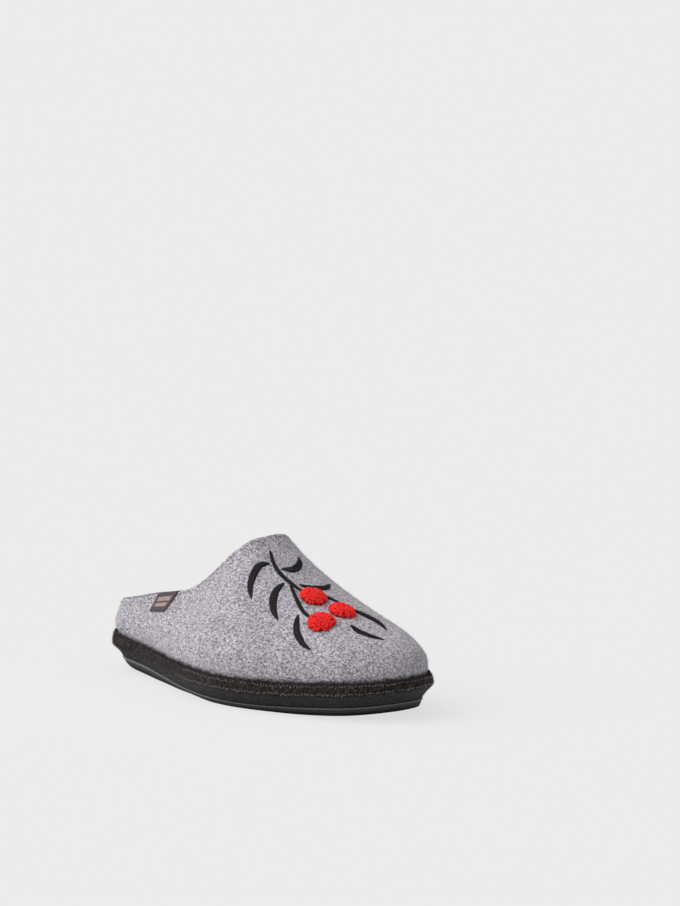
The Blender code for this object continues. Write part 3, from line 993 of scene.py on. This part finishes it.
    def build(self) -> None:
        """Adds the wall, its nap and the collar's topstitch."""
        grey = Felt(
            "boiled wool felt, grey melange",
            ((0.0, "5b5960"), (0.28, "918d95"), (0.52, "bab6c0"), (0.78, "d7d3dc"), (1.0, "e9e6ed")),
        ).material()
        grid, outer, rise = self.wall()
        add_piece("felt_upper", [grid], grey, "upper")
        hair = Hair("loose wool hairs, grey", "4a484d", "d8d5da").material()
        add_piece("upper_nap", [self.nap.grow(outer, eased(rise / 0.04) + 0.1)], hair)
        thread = Thread("sewing thread, dark grey", "4f4c52", "6d6a70").material()
        add_piece("collar_stitches", [self.collar_stitches()], thread)


@dataclass
class Sole:
    """What the band, the insole and the outsole share: rings round the last and lids that close them."""

    last: Last
    columns: int = 520

    @property
    def places(self) -> Array:
        """Even places once round, the last on the first."""
        return np.linspace(0, 1, self.columns + 1)

    def side(self, insets: Array, height: Callable[[Array], Array]) -> Grid:
        """A side wall, each row the ridge line moved inwards, with lengths round and up it as its UV map.

        Args:
            insets: shape (rows, columns + 1), in metres.
            height: gives the heights of points from how far along the shoe they lie.

        Returns:
            The wall's grid.
        """
        line, outward = self.last.line(self.places, 0.0)
        rings = line - insets[..., None] * outward
        points = self.last.world(rings, height(rings[..., 0]))
        points[:, -1] = points[:, 0]
        run = lengths_along(line)
        rises = np.linalg.norm(np.diff(points, axis=0), axis=-1)
        up = np.vstack([np.zeros(len(run)), np.cumsum(rises, axis=0)])
        return Grid(points, uv=np.stack([np.broadcast_to(run, up.shape), up], axis=-1))

    def lid(self, edge: Array, strips: int) -> Array:
        """Points across the shoe from the outer to the inner half of a ring, in straight strips.

        Args:
            edge: the ring's (columns + 1) world points.
            strips: number of points across.

        Returns:
            Points of shape (columns / 2 + 1, strips, 3), which end on the ring.
        """
        half = self.columns // 2
        outer, inner = edge[: half + 1, None], edge[half:][::-1][:, None]
        share = np.linspace(0, 1, strips)[:, None]
        return outer + share * (inner - outer)

    def cap(self, points: Array, mark: str) -> Grid:
        """A lid's points as a surface that bears none of a mark, laid out flat as its UV map."""
        return Grid(points, uv=points[..., :2], marks={mark: np.zeros(points.shape[:-1])})

    def inside(self, edge: Array, strips: int) -> Array:
        """Distance of each of a lid's points from its ends across, in metres."""
        flat = self.lid(edge, strips)
        near = np.linalg.norm(flat - flat[:, :1], axis=-1)
        return np.minimum(near, np.linalg.norm(flat - flat[:, -1:], axis=-1))


@dataclass
class Outsole(Sole):
    """Thin black rubber outsole: a rib along its top edge, and fine waves of tread inside a plain border.

    Attributes:
        tread_wave: how far the tread's waves swing, forth and back over tread_length.
        border: width of the plain border.
        profile: share of the way from top inset to floor inset, share of the height, share of the rib,
            painted highlight.
    """

    columns: int = 760
    strips: int = 74
    tread_pitch: float = 7.0 * MM
    tread_depth: float = 0.9 * MM
    tread_wave: float = 3.0 * MM
    tread_length: float = 22 * MM
    border: float = 6.5 * MM
    profile: tuple = (
        (1.00, 0.00, 0.0, 0.0),
        (0.93, 0.02, 0.0, 0.0),
        (0.82, 0.07, 0.0, 0.0),
        (0.70, 0.14, 0.0, 0.0),
        (0.50, 0.28, 0.0, 0.0),
        (0.35, 0.42, 0.0, 0.1),
        (0.20, 0.60, 0.0, 0.2),
        (0.13, 0.72, 0.0, 0.2),
        (0.12, 0.755, 0.5, 0.2),
        (0.10, 0.79, 0.95, 0.3),
        (0.08, 0.85, 1.0, 0.4),
        (0.04, 0.92, 1.0, 0.8),
        (0.02, 0.98, 0.9, 1.0),
        (0.05, 1.015, 0.5, 0.9),
        (0.12, 1.03, 0.0, 0.4),
    )

    def tread(self, flat: Array, gap: Array) -> Array:
        """Depth of the tread: grooves cos^6 across waves that run over the sole, none in the border."""
        along = self.last.middle[0] - flat[..., 1]
        wave = along + self.tread_wave * np.sin(2 * np.pi * flat[..., 0] / self.tread_length)
        groove = np.cos(np.pi * wave / self.tread_pitch) ** 6
        return self.tread_depth * groove * eased((gap - self.border) / (2 * MM))

    def build(self) -> None:
        """Adds the outsole, whose painted rib highlight is weaker from the waist to the toe, as if lit from
        the heel.
        """
        last = self.last
        along = last.line(self.places, 0.0)[0][:, 0]
        way, height, rib, rib_highlight = np.array(self.profile).T[:, :, None]
        top = last.outsole_top_inset - rib * last.outsole_rib
        floor = last.outsole_floor_inset + last.heel_bevel_undercut * last.heel_bevel(along)
        low, high = last.floor_height, last.outsole_height
        wall = self.side(top + way * (floor - top), lambda at: low(at) + height * (high(at) - low(at)))
        # Painted highlight: strongest at the rib's top edge, about a third weaker towards the toe, away from
        # the light.
        wall.marks = {"rib_highlight": rib_highlight * (1 - 0.35 * eased((along / last.length - 0.35) / 0.3))}
        under = self.lid(wall.points[0], self.strips)
        gap = self.inside(wall.points[0], self.strips)
        under[..., 2] += self.tread(under, gap)
        over = self.lid(wall.points[-1], 2)
        grids = [wall, self.cap(under, "rib_highlight"), self.cap(over, "rib_highlight")]
        add_piece("rubber_outsole", grids, Rubber().material(), "outsole")


@dataclass
class Band(Sole):
    """The footbed's felt-wrapped side: tucked in below, widest at its ridge, with a lip round the upper.

    Attributes:
        seam: share of the height at which a shallow groove runs round.
        stitch_rows: share of the height, depth in millimetres and seed of each row.
        nap: short hairs over the side.
        fringe: long hairs along the top edge, in tufts.
        profile: share of the tuck below the ridge, share of the lean above it, share of the height.
    """

    seam: float = 0.57
    stitch_rows: tuple = ((0.57, 0.0, 31), (0.87, 0.10, 32))
    stitch_pitch: float = 2.1 * MM
    stitch_radius: float = 0.20 * MM
    nap: Nap = Nap(
        count=11000, length=(0.6 * MM, 1.7 * MM), radius=0.032 * MM, lean=(0.4, 1.3), rise=0.75, seed=22
    )
    fringe: Nap = Nap(
        count=9000,
        length=(0.8 * MM, 2.4 * MM),
        radius=0.04 * MM,
        lean=(1.2, 1.6),
        rise=0.8,
        seed=23,
        tuft=3 * MM,
    )
    profile: tuple = (
        (1.00, 0.00, 0.00),
        (0.72, 0.00, 0.17),
        (0.38, 0.00, 0.33),
        (0.10, 0.00, 0.45),
        (0.00, 0.00, 0.54),
        (0.00, 0.10, 0.68),
        (0.00, 0.38, 0.84),
        (0.00, 0.70, 0.95),
        (0.00, 1.00, 1.00),
    )

    def section(self, heights: Array) -> Array:
        """Inset of the band's side at shares of its height."""
        tuck, lean, height = np.array(self.profile).T
        inset = tuck * self.last.outsole_top_inset + lean * self.last.band_top_inset
        return through_table(height, inset, heights)

    def level(self, along: Array, shares: Array) -> Array:
        """World heights of the band's side at shares of its height."""
        low = self.last.outsole_height(along) + self.last.clearance
        return low + shares * (self.last.band_top(along) - low)

    def wall(self) -> Grid:
        """The side with its felt lumps: waves 5 mm long, 0.26 mm high in the fluff and 0.06 mm below it.

        The fluff begins along an uneven line, at 0.42 of the height and at 0.26 of it round the heel. The
        top edge is ragged.
        """
        shares = np.append(np.linspace(0, 0.9, 27), [0.93, 0.96, 0.98, 1.0])[:, None]
        insets = np.broadcast_to(self.section(shares), (len(shares), len(self.places)))
        wall = self.side(insets, lambda along: self.level(along, shares))
        wall.points[..., 2] += self.ragged(wall.points) * eased((shares - 0.7) / 0.3)
        line, outward = self.last.line(self.places, 0.0)
        side = self.last.sideways(outward)
        start = 0.42 - 0.16 * eased((0.5 - line[:, 0] / self.last.length) / 0.3)
        fluff = eased((shares - start + 0.05 * lumps(wall.points, 4 * MM, seed=9)) / 0.16)
        seam = np.exp(-(((shares - self.seam) / 0.035) ** 2)) * 0.25 * MM
        high = 0.06 * MM + 0.20 * MM * fluff * eased((1 - shares) / 0.15)
        swell = high * lumps(wall.points, 5 * MM, seed=5)
        wall.points = wall.points + side * (swell - seam)[..., None]
        wall.points[:, -1] = wall.points[:, 0]
        wall.marks = {"fluff": fluff}
        return wall

    def ragged(self, points: Array) -> Array:
        """How far the brushed top edge stands up or down at each point."""
        return 0.30 * MM * lumps(points * (1, 1, 0), 3.2 * MM, seed=12)

    def stitches(self, height: float, depth: float, seed: int) -> Grid:
        """A row of zigzag overlock stitches, alternating between two heights.

        In millimetres, each is sunk by depth + random 0 to 0.35 - 0.36 sin(pi t), t along it, and by up to
        1 more towards the heel, so that few show there.

        Args:
            height: the row's share of the band's height.
            depth: how deep the row lies, in millimetres.
            seed: picks the stitches' lengths and depths.

        Returns:
            The stitches as tubes.
        """
        run = lengths_along(self.last.line(self.places, 0.0)[0])
        count = int(run[-1] / self.stitch_pitch)
        rng = np.random.default_rng(seed)
        start = (np.arange(count) + rng.uniform(-0.2, 0.2, count)) * run[-1] / count
        steps = np.linspace(0, 1, 6)
        at = start[:, None] + steps * self.stitch_pitch * rng.uniform(0.4, 0.9, (count, 1))
        turn = np.where(np.arange(count) % 2, 1, -1)[:, None] * rng.uniform(0.02, 0.13, (count, 1))
        share = height + turn * (steps - 0.5) + rng.uniform(-0.03, 0.03, (count, 1))
        place = np.interp(at % run[-1], run, self.places)
        spot, out = self.last.line(place.ravel(), 0.0)
        spot, out = spot.reshape(*place.shape, 2), out.reshape(*place.shape, 2)
        hidden = eased((0.44 - spot[..., 0] / self.last.length) / 0.12)
        sink = depth + rng.uniform(0, 0.35, (count, 1)) + hidden - 0.36 * np.sin(np.pi * steps)
        spot = spot - (self.section(share) + MM * sink)[..., None] * out
        paths = self.last.world(spot, self.level(spot[..., 0], share))
        return Grid(tubes(paths, self.stitch_radius * np.array([0, 0.9, 1, 1, 0.9, 0]), sides=5))

    def build(self) -> None:
        """Adds the band, its nap, its fringe, sparse at the heel, and its stitches."""
        last = self.last
        wall = self.wall()
        lip = last.band_top_inset + last.band_lip * np.array([[0.5], [0.9], [1.0], [1.0]])
        lip = np.broadcast_to(lip, (4, len(self.places)))
        drop = np.array([[0.0], [0.05], [0.3], [1.0]]) * last.tray_depth
        inner = self.side(lip, lambda along: last.band_top(along) - drop)
        inner.points[:3, :, 2] += self.ragged(inner.points[:3])
        inner.points = np.concatenate([wall.points[-1:], inner.points])
        inner.uv = np.concatenate([wall.uv[-1:], inner.uv])
        inner.marks = {"fluff": np.ones(inner.points.shape[:-1])}
        lids = [self.cap(self.lid(edge, 2), "fluff") for edge in (wall.points[0], inner.points[-1])]
        add_piece("felt_band", [wall, inner, *lids], BandFelt().material(), "midsole_band")
        hair = Hair("loose wool hairs, black", "080808", "5a5551").material()
        add_piece("band_nap", [self.nap.grow(wall.points, wall.marks["fluff"] + 0.12)], hair)
        station = last.line(self.places, 0.0)[0][:, 0] / last.length
        dense = np.broadcast_to(1 - 0.85 * eased((0.32 - station) / 0.2), (4, len(station)))
        add_piece("band_fringe", [self.fringe.grow(wall.points[-4:], dense)], hair)
        thread = Thread("overlock thread, grey", "5e5955", "a39c94").material()
        rows = [self.stitches(*row) for row in self.stitch_rows]
        add_piece("band_stitches", rows, thread)


@dataclass
class Insole(Sole):
    """Grey felt footbed: hollowed a little under the heel and the ball, raised a little at the arch."""

    columns: int = 360
    strips: int = 48
    chamfer: float = 1.2 * MM
    hollow: float = 0.9 * MM
    arch_rise: float = 0.7 * MM

    def contour(self, points: Array) -> Array:
        """Footprint: hollows at heel and ball and a rise under the inner arch, each a bell curve."""
        station = (self.last.middle[0] - points[..., 1]) / self.last.length
        across = self.last.middle[1] - points[..., 0]
        heel = np.exp(-(((station - 0.15) / 0.09) ** 2) - (across / (22 * MM)) ** 2)
        ball = np.exp(-(((station - 0.68) / 0.12) ** 2) - (across / (34 * MM)) ** 2)
        arch = np.exp(-(((station - 0.40) / 0.10) ** 2) - ((across + 24 * MM) / (16 * MM)) ** 2)
        return self.arch_rise * arch - self.hollow * (heel + ball) + 0.08 * MM * lumps(points, 6 * MM, seed=6)

    def build(self) -> None:
        """Adds the insole."""
        last = self.last
        base = last.upper_inset + last.felt + last.clearance
        step = np.linspace(0, np.pi / 2, 5)[:, None]
        insets = np.vstack([[[base]], [[base]], base + self.chamfer * (1 - np.cos(step[1:]))])
        tall = last.insole_thickness - self.chamfer
        rises = np.vstack([[[0.0]], [[tall]], tall + self.chamfer * np.sin(step[1:])])
        insets = np.broadcast_to(insets, (len(insets), len(self.places)))
        wall = self.side(insets, lambda along: last.tray_floor(along) + last.clearance + rises)
        over = self.lid(wall.points[-1], self.strips)
        gap = self.inside(wall.points[-1], self.strips)
        over[..., 2] += self.contour(over) * eased(gap / (9 * MM))
        under = self.lid(wall.points[0], 2)
        grids = [Grid(wall.points), Grid(over), Grid(under)]
        grey = Felt(
            "pressed wool felt, grey",
            ((0.0, "706e74"), (0.30, "8f8c93"), (0.55, "a5a2a9"), (0.80, "b7b4bb"), (1.0, "c8c5cc")),
            bump=0.25 * MM,
        ).material()
        add_piece("felt_insole", grids, grey, "insole")


@dataclass
class Label:
    """The woven loop label, folded aslant over the collar's edge on the outer side and tacked down below.

    Attributes:
        from_heel: how far along the shoe its middle sits on the ridge line.
        width: at the collar, and low_width at its lower end.
        slant: how far its lower end lies towards the heel.
        selvedge: width of the plain border on either side.
        stripes: where each pale stripe begins and ends, as shares of the drop.
    """

    upper: Upper
    from_heel: float = 78.4 * MM
    width: float = 19.0 * MM
    low_width: float = 16.8 * MM
    drop: float = 14.3 * MM
    slant: float = 9.3 * MM
    thickness: float = 0.6 * MM
    selvedge: float = 2.4 * MM
    stripes: tuple = ((0.26, 0.52), (0.58, 0.88))
    columns: int = 37
    rows: int = 29

    def spread(self) -> tuple[Array, Array]:
        """Places and shares of the label's rows, from its lower end up to the collar.

        Both are read off lengths: along the collar's edge, and down the spoke at the label's middle. Down the
        label its rows get narrower and slip towards the heel.
        """
        last = self.upper.last
        ridge, known = last.ridge
        outer = slice(0, last.fineness // 3)
        middle = np.interp(self.from_heel, ridge[outer, 0], known[outer])
        nearby = np.linspace(middle - 0.1, middle + 0.1, 400)
        run = lengths_along(last.upper_face(nearby, np.ones(400)))
        down = np.linspace(1, 0, self.rows)
        width = self.width + down * (self.low_width - self.width)
        across = np.outer(width, np.linspace(-0.5, 0.5, self.columns)) - self.slant * down[:, None]
        places = np.interp(np.interp(middle, nearby, run) + across, run, nearby)
        depths = np.linspace(1, 0, 400)
        fall = lengths_along(last.upper_face(np.array([middle]), depths[:, None])[:, 0])
        level = np.interp(down * self.drop, fall, depths)[:, None]
        top = self.upper.edge_share(places.ravel(), last.felt / 2).reshape(places.shape)
        return places, level - (1 - top) * (1 - down[:, None])

    def face(self, places: Array, shares: Array) -> tuple[Array, Array]:
        """Points and outward directions of the felt's outer face for a grid of places and shares."""
        points, normals = self.upper.face(places.ravel(), shares.ravel())
        return points.reshape(*places.shape, 3), normals.reshape(*places.shape, 3)

    def sheet(self) -> Grid:
        """The ribbon's middle face: up the outside, over the rounded edge and down the inside."""
        last = self.upper.last
        face, normals = self.face(*self.spread())
        away = last.clearance + self.thickness / 2
        outside = face + normals * away
        inside = face - normals * (last.felt + away)
        rising = unit(face[-1] - face[-2])
        middle = face[-1] - normals[-1] * last.felt / 2
        angle = np.linspace(0, np.pi, 13)[1:-1, None, None]
        reach = last.felt / 2 + away
        over = middle + reach * (np.cos(angle) * normals[-1] + np.abs(np.sin(angle)) ** 0.8 * rising)
        points = np.concatenate([outside, over, inside[::-1]])
        run = lengths_along(points[:, self.columns // 2])
        u = np.linspace(0, self.width, self.columns)
        uv = np.stack(np.broadcast_arrays(u, run[:, None]), axis=-1)
        share = run / run[self.rows - 1]
        stripes = sum(
            eased((share - low) / 0.05) * eased((high - share) / 0.05) for low, high in self.stripes
        )
        inner = eased((np.minimum(u, self.width - u) - self.selvedge) / (0.9 * MM))
        return Grid(points, uv=uv, marks={"stripe": stripes[:, None] * inner})

    def tacks(self) -> Grid:
        """A row of small tack stitches across the label's lower end."""
        places, shares = self.spread()
        across = np.linspace(0.06, 0.94, 10)
        steps = np.linspace(0, 1, 5)
        at = across[:, None] + (steps - 0.5) * 0.07
        place = np.interp(at, np.linspace(0, 1, self.columns), places[2])
        face, normals = self.face(place, np.full_like(place, shares[2, 0]))
        lift = self.upper.last.clearance + self.thickness + 0.12 * MM * np.sin(np.pi * steps) - 0.05 * MM
        radii = 0.16 * MM * np.array([0, 0.9, 1, 0.9, 0])
        return Grid(tubes(face + normals * lift[:, None], radii, sides=5))

    def build(self) -> None:
        """Adds the label and its tack stitches."""
        ribbon = Ribbon().material()
        piece = add_piece("woven_label", [self.sheet()], ribbon, "label", closed=False)
        wall = piece.modifiers.new("ribbon", "SOLIDIFY")
        wall.thickness = self.thickness
        wall.offset = 0
        thread = Thread("tack thread, brown", "2e2226", "47373c").material()
        add_piece("label_tacks", [self.tacks()], thread)


class Stitch(Enum):
    """How the threads of a satin stroke lie."""

    SQUARE = "straight across the stroke"
    SLANTED = "slanted to both sides of a midrib"


@dataclass
class Stroke:
    """One satin-stitched stroke of the sprig.

    Attributes:
        name: the piece's name.
        points: (along, across) in millimetres, seen from above.
        width: the stroke's greatest width in metres.
        stitch: how its threads lie.
    """

    name: str
    points: tuple
    width: float
    stitch: Stitch = Stitch.SQUARE


@dataclass
class Sprig:
    """Black embroidery on the vamp: stems and slender leaves round the three berries."""

    upper: Upper
    height: float = 0.9 * MM
    sunk: float = 0.35 * MM
    steps: int = 64
    sides: int = 14
    strokes: tuple = (
        Stroke("stem_1", ((141, 9), (152, 14), (165, 14), (178, 11)), 3.0 * MM),
        Stroke("stem_2", ((166, 15), (177, 20), (188, 24), (197, 24)), 2.8 * MM),
        Stroke("stem_3", ((176, 7), (190, -3), (199, -5)), 2.6 * MM),
        Stroke("leaf_1", ((148, 15), (144, 22), (146, 30), (153, 36)), 5.6 * MM, Stitch.SLANTED),
        Stroke("leaf_2", ((154, 12), (157, 4), (154, -4), (148, -9)), 5.4 * MM, Stitch.SLANTED),
        Stroke("leaf_3", ((163, 17), (164, 26), (170, 33), (178, 36)), 5.4 * MM, Stitch.SLANTED),
        Stroke("leaf_4", ((168, 10), (174, 2), (175, -7), (171, -15)), 5.2 * MM, Stitch.SLANTED),
        Stroke("leaf_5", ((196, -5), (206, -10), (217, -12), (228, -9)), 5.4 * MM, Stitch.SLANTED),
        Stroke("leaf_6", ((214, 9), (222, 10), (230, 7), (237, 1)), 4.8 * MM, Stitch.SLANTED),
        Stroke("leaf_7", ((186, 27), (192, 34), (200, 37), (209, 37)), 4.8 * MM, Stitch.SLANTED),
    )

    def surface(self, stroke: Stroke) -> Grid:
        """The stroke as a closed pod that follows the felt.

        Across a section at angle a, the side offset is w/2 * cos a and the height is h * sin a above the felt
        and a flat sunk floor below it. The width swells as sin(pi t)^p along it, blunt for a stem and long
        for a leaf, and either edge is uneven by the thickness of a thread.

        Args:
            stroke: the stroke.

        Returns:
            Its grid, with threads' places as its UV map.
        """
        last = self.upper.last
        plan = smooth_path(np.array(stroke.points, float) * MM, self.steps)
        places, shares = last.find(plan[:, 0], plan[:, 1])
        face, normals = self.upper.face(places, shares)
        ahead = unit(np.gradient(face, axis=0))
        beside = unit(np.cross(ahead, normals))
        t = np.linspace(0, 1, self.steps)
        leaf = stroke.stitch is Stitch.SLANTED
        swell = np.sin(np.pi * t ** (0.85 if leaf else 1.0)) ** (0.75 if leaf else 0.28)
        swell[[0, -1]] = 0
        angle = np.linspace(0, 2 * np.pi, self.sides + 1)
        rng = np.random.default_rng(len(stroke.name) + round(stroke.points[0][0]))
        uneven = 1 + rng.uniform(-0.07, 0.07, (self.steps, 2))[:, (np.cos(angle) > 0).astype(int)]
        offset = np.cos(angle) * stroke.width / 2 * swell[:, None] * uneven
        dome = np.where(np.sin(angle) > 0, np.abs(np.sin(angle)) ** 0.7, 0)
        if leaf:
            dome = dome * (1 - 0.35 * np.exp(-((np.cos(angle) / 0.22) ** 2)))
        high = self.height * dome * np.minimum(swell * 1.5, 1)[:, None]
        rise = high - self.sunk * (np.sin(angle) < 1e-9)
        points = face[:, None] + beside[:, None] * offset[..., None] + normals[:, None] * rise[..., None]
        points[[0, -1]] = (face - normals * self.sunk)[[0, -1], None]
        points[:, -1] = points[:, 0]
        run = np.broadcast_to(lengths_along(face)[:, None], offset.shape)
        slant = 0.9 * np.abs(offset) if leaf else 0.15 * offset
        return Grid(points, uv=np.stack([run + slant, offset], axis=-1))

    def build(self) -> None:
        """Adds every stroke as a piece of its own."""
        satin = Satin().material()
        for stroke in self.strokes:
            add_piece(stroke.name, [self.surface(stroke)], satin)


@dataclass
class Berry:
    """A round tuft of looped pile: a low pad with yarn loops on it, spaced as a sunflower's seeds are.

    Attributes:
        place: its centre's place, and share its share.
        sunk: how deep the pad's underside lies in the felt.
        yarn: half the yarn's thickness.
    """

    upper: Upper
    number: int
    place: float
    share: float
    diameter: float = 16.5 * MM
    pad_height: float = 2.2 * MM
    sunk: float = 0.3 * MM
    loops: int = 130
    loop_half_width: float = 0.80 * MM
    loop_height: float = 1.45 * MM
    yarn: float = 0.60 * MM

    def over(self, reach: Array, turn: Array) -> tuple[Array, Array]:
        """Points of the vamp and their outward directions at reaches and turns round the berry's centre."""
        last = self.upper.last
        at = np.array([self.place]), np.array([self.share])
        centre, normal = last.upper_face(*at)[0], last.upper_normals(*at)[0]
        first = unit(np.cross(normal, UP))
        second = np.cross(normal, first)
        spots = centre + reach[:, None] * (first * np.cos(turn)[:, None] + second * np.sin(turn)[:, None])
        plan = last.middle[::-1] - spots[:, :2]
        return self.upper.face(*last.find(plan[:, 1], plan[:, 0]))

    def pad(self) -> Grid:
        """The pad: height h * (1 - (r / R)^3) over the felt, closed by an underside sunk into it."""
        ring = np.linspace(0, 1, 9)
        turn = np.linspace(0, 2 * np.pi, 41)
        reach, turns = np.meshgrid(ring * self.diameter / 2, turn, indexing="ij")
        face, normals = self.over(reach.ravel(), turns.ravel())
        face, normals = face.reshape(*reach.shape, 3), normals.reshape(*reach.shape, 3)
        rise = self.pad_height * (1 - ring**3)
        top = face + normals * rise[:, None, None]
        under = face - normals * self.sunk
        points = np.concatenate([top, under[::-1]])
        points[:, -1] = points[:, 0]
        points[0] = points[0, :1]
        points[-1] = points[-1, :1]
        # Height 0 all over the pad gives it the darkest painted shade, as between the loops.
        return Grid(points, marks={"height": np.zeros(points.shape[:-1])})

    def pile(self) -> Grid:
        """The loops: ellipses that stand on the pad, leaning outwards towards its rim."""
        rng = np.random.default_rng(40 + self.number)
        count = np.arange(self.loops)
        share = np.sqrt((count + 0.5) / self.loops)
        turn = count * np.pi * (3 - np.sqrt(5)) + rng.uniform(-0.15, 0.15, self.loops)
        face, normals = self.over(share * (self.diameter / 2 - 0.7 * MM), turn)
        middle, _ = self.over(np.zeros(1), np.zeros(1))
        outwards = unit(face - middle) * (0.75 * share**2)[:, None]
        lean = unit(normals + outwards + rng.normal(0, 0.13, face.shape))
        heading = unit(np.cross(lean, rng.normal(size=face.shape)))
        centre = face + normals * (self.pad_height * (1 - share**3))[:, None] + lean * 0.35 * MM
        size = rng.uniform(0.85, 1.15, (self.loops, 1, 1))
        angle = np.linspace(0, 2 * np.pi, 13)[:, None]
        ellipse = (
            np.cos(angle) * self.loop_half_width * heading[:, None]
            + np.sin(angle) * self.loop_height * lean[:, None]
        )
        paths = centre[:, None] + size * ellipse
        rings = tubes(paths, np.full(13, self.yarn), sides=7)
        rings[:, -1] = rings[:, 0]
        # Height round each loop, 0 at its foot and 1 at its top, sets how much shade is painted on it.
        height = np.broadcast_to(0.5 + 0.5 * np.sin(angle)[None], rings.shape[:-1])
        return Grid(rings, marks={"height": height})

    def build(self, pile: bpy.types.Material) -> None:
        """Adds the berry."""
        grids = [self.pad(), self.pile()]
        add_piece(f"berry_pile_{self.number}", grids, pile, f"berry_{self.number}")


def bearing(azimuth: float, elevation: float) -> Vector:
    """The direction from the slipper to a camera or a lamp, by its azimuth and elevation in degrees."""
    turn, tilt = np.radians(azimuth), np.radians(elevation)
    return Vector((np.sin(turn) * np.cos(tilt), -np.cos(turn) * np.cos(tilt), np.sin(tilt)))


@dataclass(frozen=True)
class Lamp:
    """A distant lamp.

    Attributes:
        name: its name.
        azimuth: where it stands, in degrees as for the camera.
        elevation: how high it stands, in degrees.
        strength: its light in watts per square metre.
        softness: the angle that it fills, in degrees.
    """

    name: str
    azimuth: float
    elevation: float
    strength: float
    softness: float

    def build(self) -> None:
        """Adds the lamp."""
        lamp = bpy.data.lights.new(self.name, "SUN")
        lamp.energy = self.strength
        lamp.angle = np.radians(self.softness)
        lamp.color = linear("fffdfb")[:3]
        light = bpy.data.objects.new(self.name, lamp)
        back = bearing(self.azimuth, self.elevation)
        light.rotation_euler = back.to_track_quat("Z", "Y").to_euler()
        bpy.context.scene.collection.objects.link(light)


@dataclass
class Studio:
    """Pale floor, soft light from the heel's outer side, and the camera at the picture's angle.

    Attributes:
        azimuth: the camera's, in degrees, with its elevation.
        distance: from the camera to the point that it aims at.
        focal: in pixels of the picture.
        aim_pixel: where in the picture the aim lies, from its upper left corner.
        glow: the floor's own light.
        sky: the light of the air around.
    """

    azimuth: float = -42.87
    elevation: float = 10.65
    distance: float = 2.566
    aim: tuple[float, float, float] = (0.0056, -0.001, 0.030)
    focal: float = 4048.0
    picture: tuple[int, int] = (680, 906)
    aim_pixel: tuple[float, float] = (269.53, 644.0)
    floor_size: float = 90.0
    glow: float = 0.69
    sky: float = 0.12
    lamps: tuple[Lamp, ...] = (Lamp("key", -136, 48, 2.3, 60), Lamp("overhead", -110, 80, 1.2, 120))

    def camera(self) -> None:
        """Places the camera, its shift as large as the framing needs."""
        lens = bpy.data.cameras.new("camera")
        long_side = max(self.picture)
        lens.sensor_fit = "AUTO"
        lens.sensor_width = 36.0
        lens.lens = self.focal * lens.sensor_width / long_side
        lens.shift_x = (self.picture[0] / 2 - self.aim_pixel[0]) / long_side
        lens.shift_y = (self.aim_pixel[1] - self.picture[1] / 2) / long_side
        lens.clip_end = 200.0
        camera = bpy.data.objects.new("camera", lens)
        back = bearing(self.azimuth, self.elevation)
        camera.location = Vector(self.aim) + self.distance * back
        camera.rotation_euler = back.to_track_quat("Z", "Y").to_euler()
        bpy.context.scene.collection.objects.link(camera)
        bpy.context.scene.camera = camera

    def floor(self) -> None:
        """A pale backdrop, far wider than the view, lit from within so that it stays even."""
        half = self.floor_size / 2
        corners = np.array([[(-half, -half, 0), (half, -half, 0)], [(-half, half, 0), (half, half, 0)]])
        mesh = make_mesh("floor", [Grid(corners)], closed=False)
        look = {
            "Base Color": linear("6a6a6a"),
            "Roughness": 1.0,
            "Specular IOR Level": 0.0,
            "Emission Color": linear("ffffff"),
            "Emission Strength": self.glow,
        }
        mesh.materials.append(Recipe("lit pale backdrop").finish({}, look))
        floor = bpy.data.objects.new("floor", mesh)
        bpy.context.scene.collection.objects.link(floor)

    def build(self) -> None:
        """Adds floor, lamps, sky and camera."""
        self.floor()
        for lamp in self.lamps:
            lamp.build()
        world = bpy.data.worlds.new("studio air")
        world.use_nodes = True
        air = world.node_tree.nodes["Background"]
        air.inputs["Color"].default_value = linear("f6f6f8")
        air.inputs["Strength"].default_value = self.sky
        bpy.context.scene.world = world
        bpy.context.scene.view_settings.view_transform = "Standard"
        self.camera()


def main() -> None:
    """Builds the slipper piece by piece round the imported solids, then the studio."""
    logging.basicConfig(level=logging.INFO, format="%(name)s %(message)s")
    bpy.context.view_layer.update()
    last = Last()
    upper = Upper(last)
    upper.build()
    Band(last).build()
    Outsole(last).build()
    Insole(last).build()
    Label(upper).build()
    Sprig(upper).build()
    pile = Pile().material()
    for number, centre in enumerate(BERRY_CENTRES, start=1):
        Berry(upper, number, *centre).build(pile)
    Studio().build()


if __name__ == "__main__":
    main()
